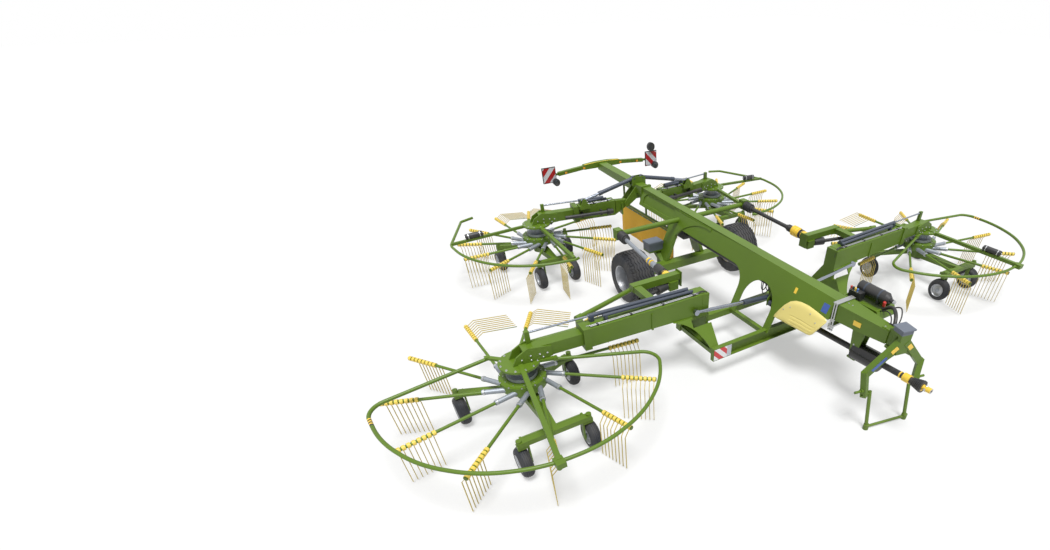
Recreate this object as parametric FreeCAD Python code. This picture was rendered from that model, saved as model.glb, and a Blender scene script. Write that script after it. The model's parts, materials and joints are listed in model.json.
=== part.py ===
import FreeCAD, Part
import os
from math import cos, hypot, pi, radians, sin, sqrt, tan

Vector = FreeCAD.Vector
X_AXIS = Vector(1, 0, 0)
Y_AXIS = Vector(0, 1, 0)
Z_AXIS = Vector(0, 0, 1)

# Towed four-rotor rotary rake, unfolded. Millimetres; +X forward, +Y left, +Z up.
# Sizes are given with X = 0 at the transport axle. The finished pieces are moved together
# so that the origin lies on the ground below the middle of the whole machine.

# --- fits ---
PIN_FIT = 0.3
SLIDE_FIT = 0.3
REACH = 3000.0

# --- transport wheels and axle ---
TYRE_RADIUS = 465.0
TYRE_WIDTH = 500.0
TYRE_SHOULDER = 60.0
RIM_RADIUS = 230.0
RIM_INSET = 90.0
WHEEL_Y = 1230.0
HUB_RADIUS = 95.0
STUB_RADIUS = 45.0
AXLE_REAR_X = -130.0
AXLE_FRONT_X = 50.0
AXLE_HEIGHT = 140.0
AXLE_HALF = 965.0

# --- main beam: upright above FLARE_TOP_Z, sides leaning out below it ---
BEAM_REAR_X = -1500.0
BEAM_FRONT_X = 3780.0
BEAM_TOP_REAR = 1455.0
BEAM_TOP_FRONT = 1345.0
BEAM_LOW_REAR = 1150.0
BEAM_LOW_FRONT = 1078.0
FLARE_TOP_Z = 1375.0
FLARE_TOP_HALF = 88.0
FLARE = 0.42

# --- front frame: side plates with an arched opening, standing on two cross members ---
FRAME_FLOOR = 480.0
FRAME_PLATE = 18.0
FRAME_REAR_X = 1930.0
FRAME_FRONT_X = 2900.0
FRAME_SHOULDER_X = 3320.0
FRAME_SHOULDER_Z = 760.0
ARCH_CORNER = 280.0
OPENING_X = 2425.0
OPENING_Z = 745.0
OPENING_RADIUS = 345.0
RAIL_SIZE = 70.0
CHANNEL_X = 2800.0
CHANNEL_DEPTH = 75.0
CHANNEL_WALL = 12.0
CHANNEL_LOW = 310.0
CHANNEL_HEIGHT = 215.0
CHANNEL_HALF = 1490.0
REAR_CROSS_X = 1850.0
REAR_CROSS_SIZE = 110.0

# --- transport legs and the recessed panel behind them ---
LEG_REAR_X = -380.0
LEG_FRONT_X = -60.0
LEG_FOOT_Z = 395.0
LEG_TIP_X = 850.0
LEG_PLATE = 14.0
LEG_DEPTH = 60.0
POCKET_DEPTH = 16.0
POCKET_REAR_X = -1390.0
POCKET_FRONT_X = -320.0
POCKET_MARGIN = 55.0
POCKET_BEVEL = 70.0

# --- rear spine, light bar, warning boards ---
SPINE_REAR_X = -3460.0
SPINE_TOP_REAR = 1483.0
SPINE_WIDTH = 190.0
SPINE_HEIGHT = 170.0
LIGHT_BAR_HALF = 1070.0
LIGHT_BAR_SIZE = 90.0
LIGHT_BAR_BOW = 50.0
BOARD_Y = 1290.0
BOARD_Z = 1400.0
BOARD_SIZE = 310.0
BOARD_THICKNESS = 25.0
LAMP_RADIUS = 70.0
LAMP_DEPTH = 70.0

# --- side covers, drawbar, headstock, parking stand ---
COVER_THICKNESS = 40.0
DRAWBAR_END_X = 4650.0
DRAWBAR_HALF = 80.0
DRAWBAR_TOP_END = 1300.0
DRAWBAR_LOW_END = 1110.0
CLAMP_ROD = 12.0
HEAD_PIVOT_X = 4740.0
HEAD_PIN = 28.0
HEAD_TURN = -12.8
HEAD_LEG = 80.0
HEAD_BEND = (100.0, 450.0, 831.0)
HEAD_KNEE = (180.0, 410.0, 500.0)
STAND_FOOT = (311.0, 42.0)
STAND_PIVOT = (178.0, 535.0)
STAND_TUBE = 25.0
STAND_PIN = 14.0
STAND_PIN_OUT = 30.0      # pin past the middle of the headstock leg
STAND_BORE_HALF = 110.0   # the pin's bore each side of the middle of the leg
STAND_GAP = 20.0          # between the stand and the headstock leg
STAND_TOP = 32.0          # tube above its pivot
STAND_CROSS = 20.0
STAND_FOOT_RADIUS = 40.0
STAND_FOOT_HEIGHT = 80.0
LOWER_PIN_RADIUS = 18.0
LOWER_PIN_LENGTH = 95.0
LOWER_PIN_SHOULDER = 66.0
LOWER_PIN_AT = (160.0, 590.0)
TRAY_X = (3640.0, 4290.0)
TRAY_Y = (125.0, 560.0)
TRAY_Z = (1215.0, 1300.0)
ACCUMULATOR_RADIUS = 85.0

# --- drive line ---
DRIVE_TUBE_X = -110.0
DRIVE_TUBE_Z = 1255.0
DRIVE_TUBE_RADIUS = 45.0
DRIVE_BOX = 150.0
DRIVE_END_Y = 1410.0
BELL_RADIUS = 82.0
BELL_LENGTH = 190.0
SIDE_SHAFT_RADIUS = 34.0
SIDE_SHAFT_END = (1450.0, 1490.0, 1172.0)
CARDAN_RADIUS = 55.0
CARDAN_Z = 1015.0
PTO_START = (3100.0, 690.0)
PTO_TIP = (5430.0, 800.0)
PTO_RADIUS = 42.0
PTO_BELL_X = (4210.0, 4640.0)
PTO_BELL_RADIUS = 130.0

# --- toolbox and swath curtain ---
TOOLBOX_X = (-520.0, -290.0)
TOOLBOX_Y = (-680.0, -380.0)
TOOLBOX_Z = (690.0, 850.0)
CURTAIN_X = (-2600.0, -480.0)
CURTAIN_Z = (230.0, 880.0)
CURTAIN_THICKNESS = 12.0
CURTAIN_ROD = 22.0

# --- folding booms: hinge pins along X, beams that telescope in a collar ---
PIVOT_PIN = 32.0
PIVOT_KNUCKLE = 72.0
BOX_GAP = 12.0
INNER_WIDTH = 160.0
INNER_TOP = 1135.0
INNER_HEIGHT = 175.0
COLLAR_LENGTH = 90.0
COLLAR_WALL = 32.0
FRONT_PIVOT_Y = 1395.0
FRONT_PIVOT_Z = 430.0
FRONT_FOOT_X = (1975.0, 2785.0)
REAR_PIVOT_X = -1850.0
REAR_PIVOT_Y = 330.0
REAR_PIVOT_Z = 1120.0
REAR_KNUCKLE_HALF = 60.0
REAR_PLATE_GAP = 12.0
REAR_PLATE = 24.0

# --- lift cylinders ---
BARREL_RADIUS = 42.0
ROD_RADIUS = 26.0
EYE_RADIUS = 48.0
EYE_WIDTH = 60.0
FRONT_ANCHOR = (220.0, 820.0)
FRONT_BOSS = (-1597.0, 1027.0)
FRONT_CYLINDER_X = {-1: 2535.0, 1: 2655.0}
ROD_SLOT_HALF = 38.0
ROD_SLOT_OUT = 68.0
ROD_SLOT_IN = 262.0
ROD_SLOT_Z = (758.0, 931.0)
LUG_GAP = 6.0
LUG_PLATE = 14.0
LUG_PIN = 15.0
FRONT_BARREL = 935.0
FRONT_ROD = 955.0
REAR_ANCHOR = (-100.0, 1545.0)
REAR_BOSS = (-1250.0, 1310.0)
REAR_CYLINDER_X = {-1: -1850.0, 1: -1850.0}
REAR_BARREL = 820.0
REAR_ROD = 560.0

# --- rotors ---
COLUMN_RADIUS = 85.0
HUB_OUTER = 310.0
HUB_LOW = 610.0
HUB_HIGH = 735.0
SOCKET_RADIUS = 34.0
SOCKET_END = 520.0
ARM_RADIUS = 21.0
COIL_RADIUS = 33.0
COIL_LENGTH = 40.0
TINE = 9.0
TINE_OUT = 95.0
TINE_FALL = 110.0
TINE_GROUND = 25.0
TINES_PER_ARM = 8
TINE_SPACING = 60.0
RAISED_TURN = 80.0
HEAD_RADIUS = 270.0
HEAD_PLATE = (930.0, 958.0)
GEARBOX_RADIUS = 150.0
GUARD_TUBE = 24.0
GUARD_Z = 826.0
GUARD_BEND = 220.0
WHEEL_RADIUS = 205.0
WHEEL_WIDTH = 155.0
WHEEL_STUB = 18.0
WHEEL_SHOULDER = 35.0
FORK_PLATE = 20.0
CARRIER_TOP = 540.0
CARRIER_LOW = 440.0

FRONT = dict(
    name="front", axis_x=2206.0, axis_y=4181.0, sweep=3.28, box=(240.0, 925.0), box_inner=2778.0,
    box_top=(1244.0, 1198.0), collar=880.0, beam_inner=2200.0, bore_end=2640.0, arms=11,
    reach=1776.0, offset=185.0,
    phase=-145.1, arm_z=655.0, raised=(8, 9, 10), wheel_x=985.0, wheel_half=460.0,
    rear_wheel_x=-410.0, rear_wheel_half=820.0, guard_radius=1860.0, guard_from=-97.0, guard_to=71.0)
REAR = dict(
    name="rear", axis_x=-2150.0, axis_y=2190.0, sweep=9.0, box=(225.0, 930.0), box_inner=1640.0,
    box_top=(1215.0, 1180.0), collar=770.0, beam_inner=1330.0, bore_end=1470.0, arms=13,
    reach=1581.0, offset=196.0,
    phase=-117.9, arm_z=649.0, raised=(9, 10, 11), wheel_x=790.0, wheel_half=350.0,
    rear_wheel_x=-420.0, rear_wheel_half=740.0, guard_radius=1685.0, guard_from=-94.0, guard_to=2.0)


def box(x0, x1, y0, y1, z0, z1):
    return Part.makeBox(x1 - x0, y1 - y0, z1 - z0, Vector(x0, y0, z0))


def rod(start, end, radius):
    start, end = Vector(*start), Vector(*end)
    return Part.makeCylinder(radius, (end - start).Length, start, end - start)


def cone(start, end, radius_start, radius_end):
    start, end = Vector(*start), Vector(*end)
    return Part.makeCone(radius_start, radius_end, (end - start).Length, start, end - start)


def prism(points, axis, low, high):
    """Extrude a polygon from low to high; the points are the two other coordinates in order."""
    spots = {"x": lambda a, b: Vector(low, a, b),
             "y": lambda a, b: Vector(a, low, b),
             "z": lambda a, b: Vector(a, b, low)}[axis]
    corners = [spots(a, b) for a, b in points]
    face = Part.Face(Part.makePolygon(corners + [corners[0]]))
    return face.extrude({"x": X_AXIS, "y": Y_AXIS, "z": Z_AXIS}[axis] * (high - low))


def bar(start, end, width, height):
    """A rectangular bar between two points, its height upright and its width level."""
    start, end = Vector(*start), Vector(*end)
    along = (end - start).normalize()
    level = Z_AXIS.cross(along).normalize() * (width / 2)
    upright = along.cross(level).normalize() * (height / 2)
    corners = [start + level + upright, start - level + upright,
               start - level - upright, start + level - upright]
    face = Part.Face(Part.makePolygon(corners + [corners[0]]))
    return face.extrude(end - start)


def joined(*shapes):
    return shapes[0].fuse(list(shapes[1:])).removeSplitter()


def mirrored(shape):
    return shape.mirror(Vector(0, 0, 0), Y_AXIS)


def on_side(shape, side):
    """Shapes are drawn for the right side (-1); the left side (+1) is their mirror image."""
    return mirrored(shape) if side > 0 else shape


def swept(edges, start, direction, radius):
    section = Part.Wire(Part.Circle(start, direction, radius).toShape())
    return Part.Wire(edges).makePipeShell([section], True, True)


# --- main beam, front frame ---

def beam_top(x):
    return BEAM_TOP_REAR + (BEAM_TOP_FRONT - BEAM_TOP_REAR) * (x - BEAM_REAR_X) / (BEAM_FRONT_X - BEAM_REAR_X)


def beam_low(x):
    return BEAM_LOW_REAR + (BEAM_LOW_FRONT - BEAM_LOW_REAR) * (x - BEAM_REAR_X) / (BEAM_FRONT_X - BEAM_REAR_X)


def flare_half(z):
    """Half the width of the frame at a height: its sides lean out towards the ground."""
    return FLARE_TOP_HALF + max(0.0, FLARE_TOP_Z - z) * FLARE


def flared(x0, x1, grow):
    heights = (BEAM_TOP_REAR + 50, FLARE_TOP_Z, LEG_FOOT_Z - 60)
    points = [(flare_half(z) + grow, z) for z in heights]
    return prism(points + [(-y, z) for y, z in reversed(points)], "x", x0, x1)


def profile(points):
    """A side outline extruded across the whole width."""
    return prism(points, "y", -REACH, REACH)


def beam_side():
    return profile([(BEAM_REAR_X, beam_top(BEAM_REAR_X)), (BEAM_FRONT_X, beam_top(BEAM_FRONT_X)),
                    (BEAM_FRONT_X, beam_low(BEAM_FRONT_X)), (BEAM_REAR_X, beam_low(BEAM_REAR_X))])


def pocket_skin():
    """The shallow recessed panel in each side of the beam behind the transport legs."""
    low, high = beam_low(POCKET_REAR_X) + POCKET_MARGIN, beam_top(POCKET_FRONT_X) - POCKET_MARGIN
    tip = POCKET_FRONT_X + POCKET_BEVEL
    pocket = profile([(POCKET_REAR_X, low), (POCKET_FRONT_X - 2 * POCKET_BEVEL, low),
                      (POCKET_FRONT_X, low + POCKET_BEVEL / 2), (tip, low + 1.1 * POCKET_BEVEL),
                      (tip, high - POCKET_BEVEL), (POCKET_FRONT_X, high),
                      (POCKET_REAR_X + POCKET_BEVEL, high), (POCKET_REAR_X, high - POCKET_BEVEL)])
    return pocket.cut(flared(BEAM_REAR_X, BEAM_FRONT_X, -POCKET_DEPTH))


def make_beam():
    return beam_side().common(flared(BEAM_REAR_X, BEAM_FRONT_X, 0)).cut(pocket_skin())


def frame_side():
    """Side outline of the front frame: a round inner corner behind, a sloping shoulder in front."""
    x = FRAME_REAR_X - ARCH_CORNER
    z = beam_low(x) - ARCH_CORNER
    turn = ARCH_CORNER * sin(pi / 4)
    begin = Vector(x, -REACH, z + ARCH_CORNER)
    finish = Vector(x + ARCH_CORNER, -REACH, z)
    arc = Part.Arc(begin, Vector(x + turn, -REACH, z + turn), finish).toShape()
    rest = [finish]
    for corner_x, corner_z in ((FRAME_REAR_X, FRAME_FLOOR), (FRAME_FRONT_X, FRAME_FLOOR),
                               (FRAME_FRONT_X, FRAME_SHOULDER_Z),
                               (FRAME_SHOULDER_X, beam_low(FRAME_SHOULDER_X) + 20),
                               (x, beam_low(x) + 20)):
        rest.append(Vector(corner_x, -REACH, corner_z))
    rest.append(begin)
    edges = [arc] + [Part.LineSegment(a, b).toShape() for a, b in zip(rest, rest[1:])]
    return Part.Face(Part.Wire(edges)).extrude(Y_AXIS * 2 * REACH)


def make_main_beam():
    """Beam and front frame in one: the frame's side plates carry on down from the beam's sides."""
    opening = joined(
        rod((OPENING_X, -REACH, OPENING_Z), (OPENING_X, REACH, OPENING_Z), OPENING_RADIUS),
        box(OPENING_X - OPENING_RADIUS, OPENING_X + OPENING_RADIUS, -REACH, REACH,
            FRAME_FLOOR - 10, OPENING_Z))
    outline = joined(beam_side(), frame_side())
    x0, x1 = FRAME_REAR_X - ARCH_CORNER - 50, FRAME_SHOULDER_X + 50
    under = profile([(x0, beam_low(x0)), (x1, beam_low(x1)), (x1, 300), (x0, 300)])
    inside = under.common(flared(x0, x1, -FRAME_PLATE))
    shell = outline.common(flared(BEAM_REAR_X, BEAM_FRONT_X, 0)).cut([inside, opening, pocket_skin()])
    foot = flare_half(FRAME_FLOOR)
    rail = box(REAR_CROSS_X, CHANNEL_X + CHANNEL_WALL, -foot, -foot + RAIL_SIZE,
               FRAME_FLOOR - RAIL_SIZE, FRAME_FLOOR)
    channel = box(CHANNEL_X, CHANNEL_X + CHANNEL_DEPTH, -CHANNEL_HALF, CHANNEL_HALF,
                  CHANNEL_LOW, CHANNEL_LOW + CHANNEL_HEIGHT)
    recess = box(CHANNEL_X + CHANNEL_WALL, CHANNEL_X + CHANNEL_DEPTH, -CHANNEL_HALF + CHANNEL_WALL,
                 CHANNEL_HALF - CHANNEL_WALL, CHANNEL_LOW + CHANNEL_WALL,
                 CHANNEL_LOW + CHANNEL_HEIGHT - CHANNEL_WALL)
    rear_cross = box(REAR_CROSS_X, REAR_CROSS_X + REAR_CROSS_SIZE, -CHANNEL_HALF, CHANNEL_HALF,
                     FRONT_PIVOT_Z - REAR_CROSS_SIZE / 2, FRONT_PIVOT_Z + REAR_CROSS_SIZE / 2)
    shape = joined(shell, rail, mirrored(rail), channel.cut(recess), rear_cross, *front_anchor_lugs())
    bore = rod((REAR_CROSS_X - 1, -FRONT_PIVOT_Y, FRONT_PIVOT_Z),
               (CHANNEL_X + CHANNEL_WALL + 1, -FRONT_PIVOT_Y, FRONT_PIVOT_Z), PIVOT_PIN + PIN_FIT)
    shape = shape.cut([bore, mirrored(bore)] + front_anchor_bores())
    return shape.removeSplitter()


def lug_half():
    return BARREL_RADIUS + LUG_GAP + LUG_PLATE


def front_anchor_lugs():
    """A pair of plates for each lift cylinder, standing down from inside the beam."""
    lugs = []
    for side, x in FRONT_CYLINDER_X.items():
        y, z = FRONT_ANCHOR
        outline = [(y - 45, z - 45), (y + 45, z - 45), (y + 45, z + 60), (120, beam_low(x) + 15),
                   (20, beam_low(x) + 15)]
        for sign in (-1, 1):
            plate_x = x + sign * (BARREL_RADIUS + LUG_GAP + LUG_PLATE / 2)
            lug = prism(outline, "x", plate_x - LUG_PLATE / 2, plate_x + LUG_PLATE / 2)
            lugs.append(on_side(lug, side))
    return lugs


def front_anchor_bores():
    bores = []
    for side, x in FRONT_CYLINDER_X.items():
        y, z = -side * FRONT_ANCHOR[0], FRONT_ANCHOR[1]
        half = lug_half() + 1
        bores.append(rod((x - half, y, z), (x + half, y, z), LUG_PIN + PIN_FIT))
    return bores


# --- transport legs, axle, rear spine, lights ---

def leg_side():
    """Side outline of a transport leg: its front edge arches up along the beam."""
    tip = Vector(LEG_TIP_X, -REACH, beam_top(LEG_TIP_X) - 65)
    foot = Vector(LEG_FRONT_X, -REACH, beam_low(LEG_FRONT_X) - 120)
    middle = Vector((LEG_FRONT_X + LEG_TIP_X) / 2 - 130, -REACH, (tip.z + foot.z) / 2 + 75)
    arc = Part.Arc(tip, middle, foot).toShape()
    rest = [foot] + [Vector(x, -REACH, z) for x, z in (
        (LEG_FRONT_X, LEG_FOOT_Z), (LEG_REAR_X + 100, LEG_FOOT_Z), (LEG_REAR_X, LEG_FOOT_Z + 120),
        (LEG_REAR_X + 60, beam_low(LEG_REAR_X) - 60), (LEG_REAR_X - 60, beam_low(LEG_REAR_X)),
        (LEG_FRONT_X - 170, beam_low(LEG_REAR_X) + 60),
        (LEG_FRONT_X - 150, beam_top(LEG_FRONT_X) - 60), (LEG_FRONT_X - 110, beam_top(LEG_FRONT_X) - 25),
        (LEG_TIP_X, beam_top(LEG_TIP_X) - 25))]
    rest.append(tip)
    edges = [arc] + [Part.LineSegment(a, b).toShape() for a, b in zip(rest, rest[1:])]
    return Part.Face(Part.Wire(edges)).extrude(Y_AXIS * 2 * REACH)


def make_axle_frame():
    x0, x1 = LEG_REAR_X - 100, LEG_TIP_X + 50
    plates = leg_side().common(flared(x0, x1, LEG_PLATE).cut(flared(x0, x1, -LEG_DEPTH)))
    plates = plates.cut(make_beam())
    axle = box(AXLE_REAR_X, AXLE_FRONT_X, -AXLE_HALF, AXLE_HALF, LEG_FOOT_Z, LEG_FOOT_Z + AXLE_HEIGHT)
    stub = rod((0, -AXLE_HALF + 5, TYRE_RADIUS), (0, -WHEEL_Y - HUB_RADIUS, TYRE_RADIUS), STUB_RADIUS)
    shelf = box(TOOLBOX_X[0], TOOLBOX_X[1], TOOLBOX_Y[0], TOOLBOX_Y[1], TOOLBOX_Z[0] - 30, TOOLBOX_Z[0])
    post = bar(((TOOLBOX_X[0] + TOOLBOX_X[1]) / 2, TOOLBOX_Y[1] - 90, TOOLBOX_Z[0] - 55),
               (AXLE_REAR_X + 30, TOOLBOX_Y[1] - 90, LEG_FOOT_Z + AXLE_HEIGHT / 2), 90, 70)
    return joined(axle, *plates.Solids, stub, mirrored(stub), shelf, post).cut(make_toolbox())


def spine_top(x):
    return BEAM_TOP_REAR + (SPINE_TOP_REAR - BEAM_TOP_REAR) * (BEAM_REAR_X - x) / (BEAM_REAR_X - SPINE_REAR_X)


def make_rear_spine():
    half = SPINE_WIDTH / 2
    spine = prism([(BEAM_REAR_X, spine_top(BEAM_REAR_X)), (SPINE_REAR_X, spine_top(SPINE_REAR_X)),
                   (SPINE_REAR_X, spine_top(SPINE_REAR_X) - SPINE_HEIGHT * 0.8),
                   (BEAM_REAR_X, spine_top(BEAM_REAR_X) - SPINE_HEIGHT)], "y", -half, half)
    collar = box(BEAM_REAR_X - 60, BEAM_REAR_X, -half - 22, half + 22,
                 BEAM_LOW_REAR + 30, BEAM_TOP_REAR + 22)
    shape = joined(spine, collar, *rear_pivot_plates(), *rear_anchor_plates(), *light_bar())
    bores = []
    for side in (-1, 1):
        y = side * REAR_PIVOT_Y
        edge = REAR_KNUCKLE_HALF + REAR_PLATE_GAP + REAR_PLATE + 5
        bores.append(rod((REAR_PIVOT_X - edge, y, REAR_PIVOT_Z), (REAR_PIVOT_X + edge, y, REAR_PIVOT_Z),
                         PIVOT_PIN + PIN_FIT))
        y, z = side * -REAR_ANCHOR[0], REAR_ANCHOR[1]
        bores.append(rod((REAR_PIVOT_X - lug_half() - 1, y, z), (REAR_PIVOT_X + lug_half() + 1, y, z),
                         LUG_PIN + PIN_FIT))
    hanger = curtain_rod().cut([make_curtain(), make_beam()])
    return joined(shape.cut(bores), hanger)


def rear_pivot_plates():
    """Two butterfly plates across the spine carry the hinge pins of both rear booms."""
    plates = []
    low = REAR_PIVOT_Z - PIVOT_KNUCKLE
    outline = [(SPINE_WIDTH / 2 + 10, 1400), (REAR_PIVOT_Y + 42, REAR_PIVOT_Z + 22),
               (REAR_PIVOT_Y + 42, low + 30), (REAR_PIVOT_Y - 20, low), (SPINE_WIDTH / 2, 1180)]
    outline += [(-y, z) for y, z in reversed(outline)]
    inner = REAR_KNUCKLE_HALF + REAR_PLATE_GAP
    for x in (REAR_PIVOT_X - inner - REAR_PLATE, REAR_PIVOT_X + inner):
        plates.append(prism(outline, "x", x, x + REAR_PLATE))
    return plates


def rear_anchor_plates():
    plates = []
    top = REAR_ANCHOR[1]
    outline = [(-160, spine_top(REAR_PIVOT_X) - 40), (-160, top), (-125, top + 35), (125, top + 35),
               (160, top), (160, spine_top(REAR_PIVOT_X) - 40)]
    gap = BARREL_RADIUS + LUG_GAP
    for x in (REAR_PIVOT_X - gap - LUG_PLATE, REAR_PIVOT_X + gap):
        plates.append(prism(outline, "x", x, x + LUG_PLATE))
    return plates


def light_bar():
    half = LIGHT_BAR_SIZE / 2
    x = SPINE_REAR_X
    middle = prism([(-LIGHT_BAR_HALF * 0.42, SPINE_TOP_REAR - LIGHT_BAR_SIZE),
                    (LIGHT_BAR_HALF * 0.42, SPINE_TOP_REAR - LIGHT_BAR_SIZE),
                    (LIGHT_BAR_HALF * 0.42, SPINE_TOP_REAR),
                    (LIGHT_BAR_HALF * 0.15, SPINE_TOP_REAR + LIGHT_BAR_BOW / 2),
                    (-LIGHT_BAR_HALF * 0.15, SPINE_TOP_REAR + LIGHT_BAR_BOW / 2),
                    (-LIGHT_BAR_HALF * 0.42, SPINE_TOP_REAR)], "x", x - half - 20, x + half)
    bars = [middle]
    for side in (-1, 1):
        bars.append(bar((x, side * LIGHT_BAR_HALF * 0.4, SPINE_TOP_REAR - half),
                        (x, side * LIGHT_BAR_HALF, SPINE_TOP_REAR - half - LIGHT_BAR_BOW),
                        LIGHT_BAR_SIZE * 0.85, LIGHT_BAR_SIZE * 0.8))
        bars.append(bar((x, side * (LIGHT_BAR_HALF - 30), SPINE_TOP_REAR - half - LIGHT_BAR_BOW),
                        (x, side * (BOARD_Y + BOARD_SIZE * 0.2), SPINE_TOP_REAR - half - LIGHT_BAR_BOW),
                        30, 40))
    return bars


def make_warning_boards():
    """Square boards on the light bar, each with a lamp in front of its lower corner."""
    half = BOARD_SIZE / 2
    x = SPINE_REAR_X + 15
    pieces = []
    for side in (-1, 1):
        centre = side * BOARD_Y
        board = box(x, x + BOARD_THICKNESS, centre - half, centre + half, BOARD_Z - half, BOARD_Z + half)
        lamp_y = centre - side * 20 + 105
        pieces += [board, rod((x, lamp_y, BOARD_Z - half + 10),
                              (x + LAMP_DEPTH + BOARD_THICKNESS, lamp_y, BOARD_Z - half + 10), LAMP_RADIUS)]
    high = BOARD_Z + half + 90
    top = rod((x - 10, BOARD_Y, high), (x + 60, BOARD_Y, high), LAMP_RADIUS + 20)
    neck = box(x, x + 20, BOARD_Y - 25, BOARD_Y + 25, BOARD_Z + half - 10, BOARD_Z + half + 60)
    return joined(*pieces, top, neck)


# --- covers, drawbar, hose tray ---

def cover_side():
    return profile([(2885, 740), (2965, 930), (3090, 1065), (3250, 1110), (3400, 1118), (3782, 1078),
                    (3782, 1040), (3665, 815), (3600, 780)])


def make_side_covers():
    x0, x1 = FRAME_FRONT_X - 100, BEAM_FRONT_X + 100
    panel = cover_side().common(flared(x0, x1, COVER_THICKNESS).cut(flared(x0, x1, 4)))
    spacer = box(FRAME_FRONT_X - 60, FRAME_SHOULDER_X - 120, -REACH, REACH, 860, 960)
    spacer = spacer.common(flared(x0, x1, 5).cut(flared(x0, x1, 0)))
    return joined(*panel.Solids, *spacer.Solids)


def make_drawbar():
    x0, x1 = BEAM_FRONT_X, DRAWBAR_END_X
    top0, low0 = BEAM_TOP_FRONT - 12, BEAM_LOW_FRONT + 8
    body = prism([(x0, top0), (x1, DRAWBAR_TOP_END), (x1, DRAWBAR_LOW_END), (x0 + 420, DRAWBAR_LOW_END - 25),
                  (x0, low0)], "y", -REACH, REACH)
    plan = prism([(x0, -150), (x0 + 60, -150), (x1, -DRAWBAR_HALF), (x1, DRAWBAR_HALF),
                  (x0 + 60, 150), (x0, 150)], "z", 0, 2000)
    nose = rod((HEAD_PIVOT_X, 0, DRAWBAR_LOW_END), (HEAD_PIVOT_X, 0, DRAWBAR_TOP_END), 70)
    web = box(x1 - 40, HEAD_PIVOT_X, -60, 60, DRAWBAR_LOW_END, DRAWBAR_TOP_END)
    pins = rod((HEAD_PIVOT_X, 0, DRAWBAR_LOW_END - 60), (HEAD_PIVOT_X, 0, DRAWBAR_TOP_END + 60), HEAD_PIN)
    hanger = [prism([(PTO_BELL_X[0] - 90, 1120), (PTO_BELL_X[0] + 130, 1120), (PTO_BELL_X[0] + 60, 640),
                     (PTO_BELL_X[0] - 30, 640)], "y", y - 8, y + 8) for y in (-70, 70)]
    floor = box(PTO_BELL_X[0] - 60, PTO_BELL_X[0] + 80, -78, 78, 625, 650)
    return joined(body.common(plan), nose, web, pins, *hanger, floor)


def make_beam_clamps():
    """Pairs of bent rods and two nutted plates that clamp the drawbar to the beam."""
    pieces = []
    for x in (BEAM_FRONT_X + 22, BEAM_FRONT_X + 62):
        for side in (-1, 1):
            pieces.append(rod((x, side * 165, 930), (x, side * 165, BEAM_TOP_FRONT - 5), CLAMP_ROD))
    for side in (-1, 1):
        pieces.append(box(BEAM_FRONT_X, BEAM_FRONT_X + 84, side * 165 - 16, side * 165 + 16, 955, 985))
    pieces.append(box(BEAM_FRONT_X, BEAM_FRONT_X + 84, -178, 178, BEAM_TOP_FRONT - 11.7, BEAM_TOP_FRONT + 4))
    pieces.append(box(BEAM_FRONT_X, BEAM_FRONT_X + 84, -178, 178, 985, 1010))
    return joined(*pieces)


def make_hose_tray():
    x0, x1 = TRAY_X
    y0, y1 = TRAY_Y
    z0, z1 = TRAY_Z
    tray = prism([(x0, z0), (x1, z0 - 30), (x1, z0), (x1 - 60, z1), (x0, z1)], "y", y0 + 60, y1)
    hollow = box(x0 + 20, x1 - 90, y0 + 80, y1 - 20, z0 + 20, z1 + 10)
    arm = box(x0 + 20, x0 + 110, y0 - 30, y0 + 80, z0, z0 + 60)
    return joined(tray.cut(hollow), arm).cut(make_beam())


def make_accumulator():
    y = (TRAY_Y[0] + TRAY_Y[1]) / 2 + 110
    z = TRAY_Z[1] + ACCUMULATOR_RADIUS
    x0, x1 = TRAY_X[0] + 60, TRAY_X[1] - 70
    body = rod((x0, y, z), (x1 - 60, y, z), ACCUMULATOR_RADIUS)
    ends = [cone((x1 - 60, y, z), (x1, y, z), ACCUMULATOR_RADIUS, ACCUMULATOR_RADIUS * 0.5),
            rod((x1 - 5, y, z), (x1 + 40, y, z), 28)]
    block = box(x0 - 40, x0 + 160, y - 190, y - 80, TRAY_Z[1] - 25, TRAY_Z[1] + 75)
    bridge = box(x0 + 20, x0 + 90, y - 100, y, TRAY_Z[1], TRAY_Z[1] + 50)
    return joined(body, *ends, block, bridge)


# --- drive line ---

def make_drive_tube():
    """Transverse drive tube through the beam with a gearbox at each end."""
    half = DRIVE_BOX / 2
    tube = rod((DRIVE_TUBE_X, -DRIVE_END_Y, DRIVE_TUBE_Z), (DRIVE_TUBE_X, DRIVE_END_Y, DRIVE_TUBE_Z),
               DRIVE_TUBE_RADIUS)
    ends = box(DRIVE_TUBE_X - half, DRIVE_TUBE_X + half, -DRIVE_END_Y - half, -DRIVE_END_Y + half * 0.6,
               DRIVE_TUBE_Z - half, DRIVE_TUBE_Z + half + 15)
    shape = joined(tube, ends, mirrored(ends))
    return shape.cut([make_beam(), make_axle_frame()])


def make_side_shafts():
    """Guard bell, tube and coupling of the shaft that runs forward on each side."""
    face = DRIVE_TUBE_X + DRIVE_BOX / 2
    start = Vector(face, -DRIVE_END_Y, DRIVE_TUBE_Z)
    end = Vector(SIDE_SHAFT_END[0], -SIDE_SHAFT_END[1], SIDE_SHAFT_END[2])
    along = (end - start).normalize()
    bell = cone(start, start + along * BELL_LENGTH, BELL_RADIUS * 0.8, BELL_RADIUS)
    tube = rod(start + along * 20, end - along * 100, SIDE_SHAFT_RADIUS)
    coupling = cone(end - along * 330, end - along * 170, SIDE_SHAFT_RADIUS + 12, SIDE_SHAFT_RADIUS + 16)
    ring = rod(end - along * 175, end, BELL_RADIUS * 0.95)
    return joined(bell, tube, coupling, ring).cut(box(face - 60, face, -REACH, 0, 0, REACH))


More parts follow.
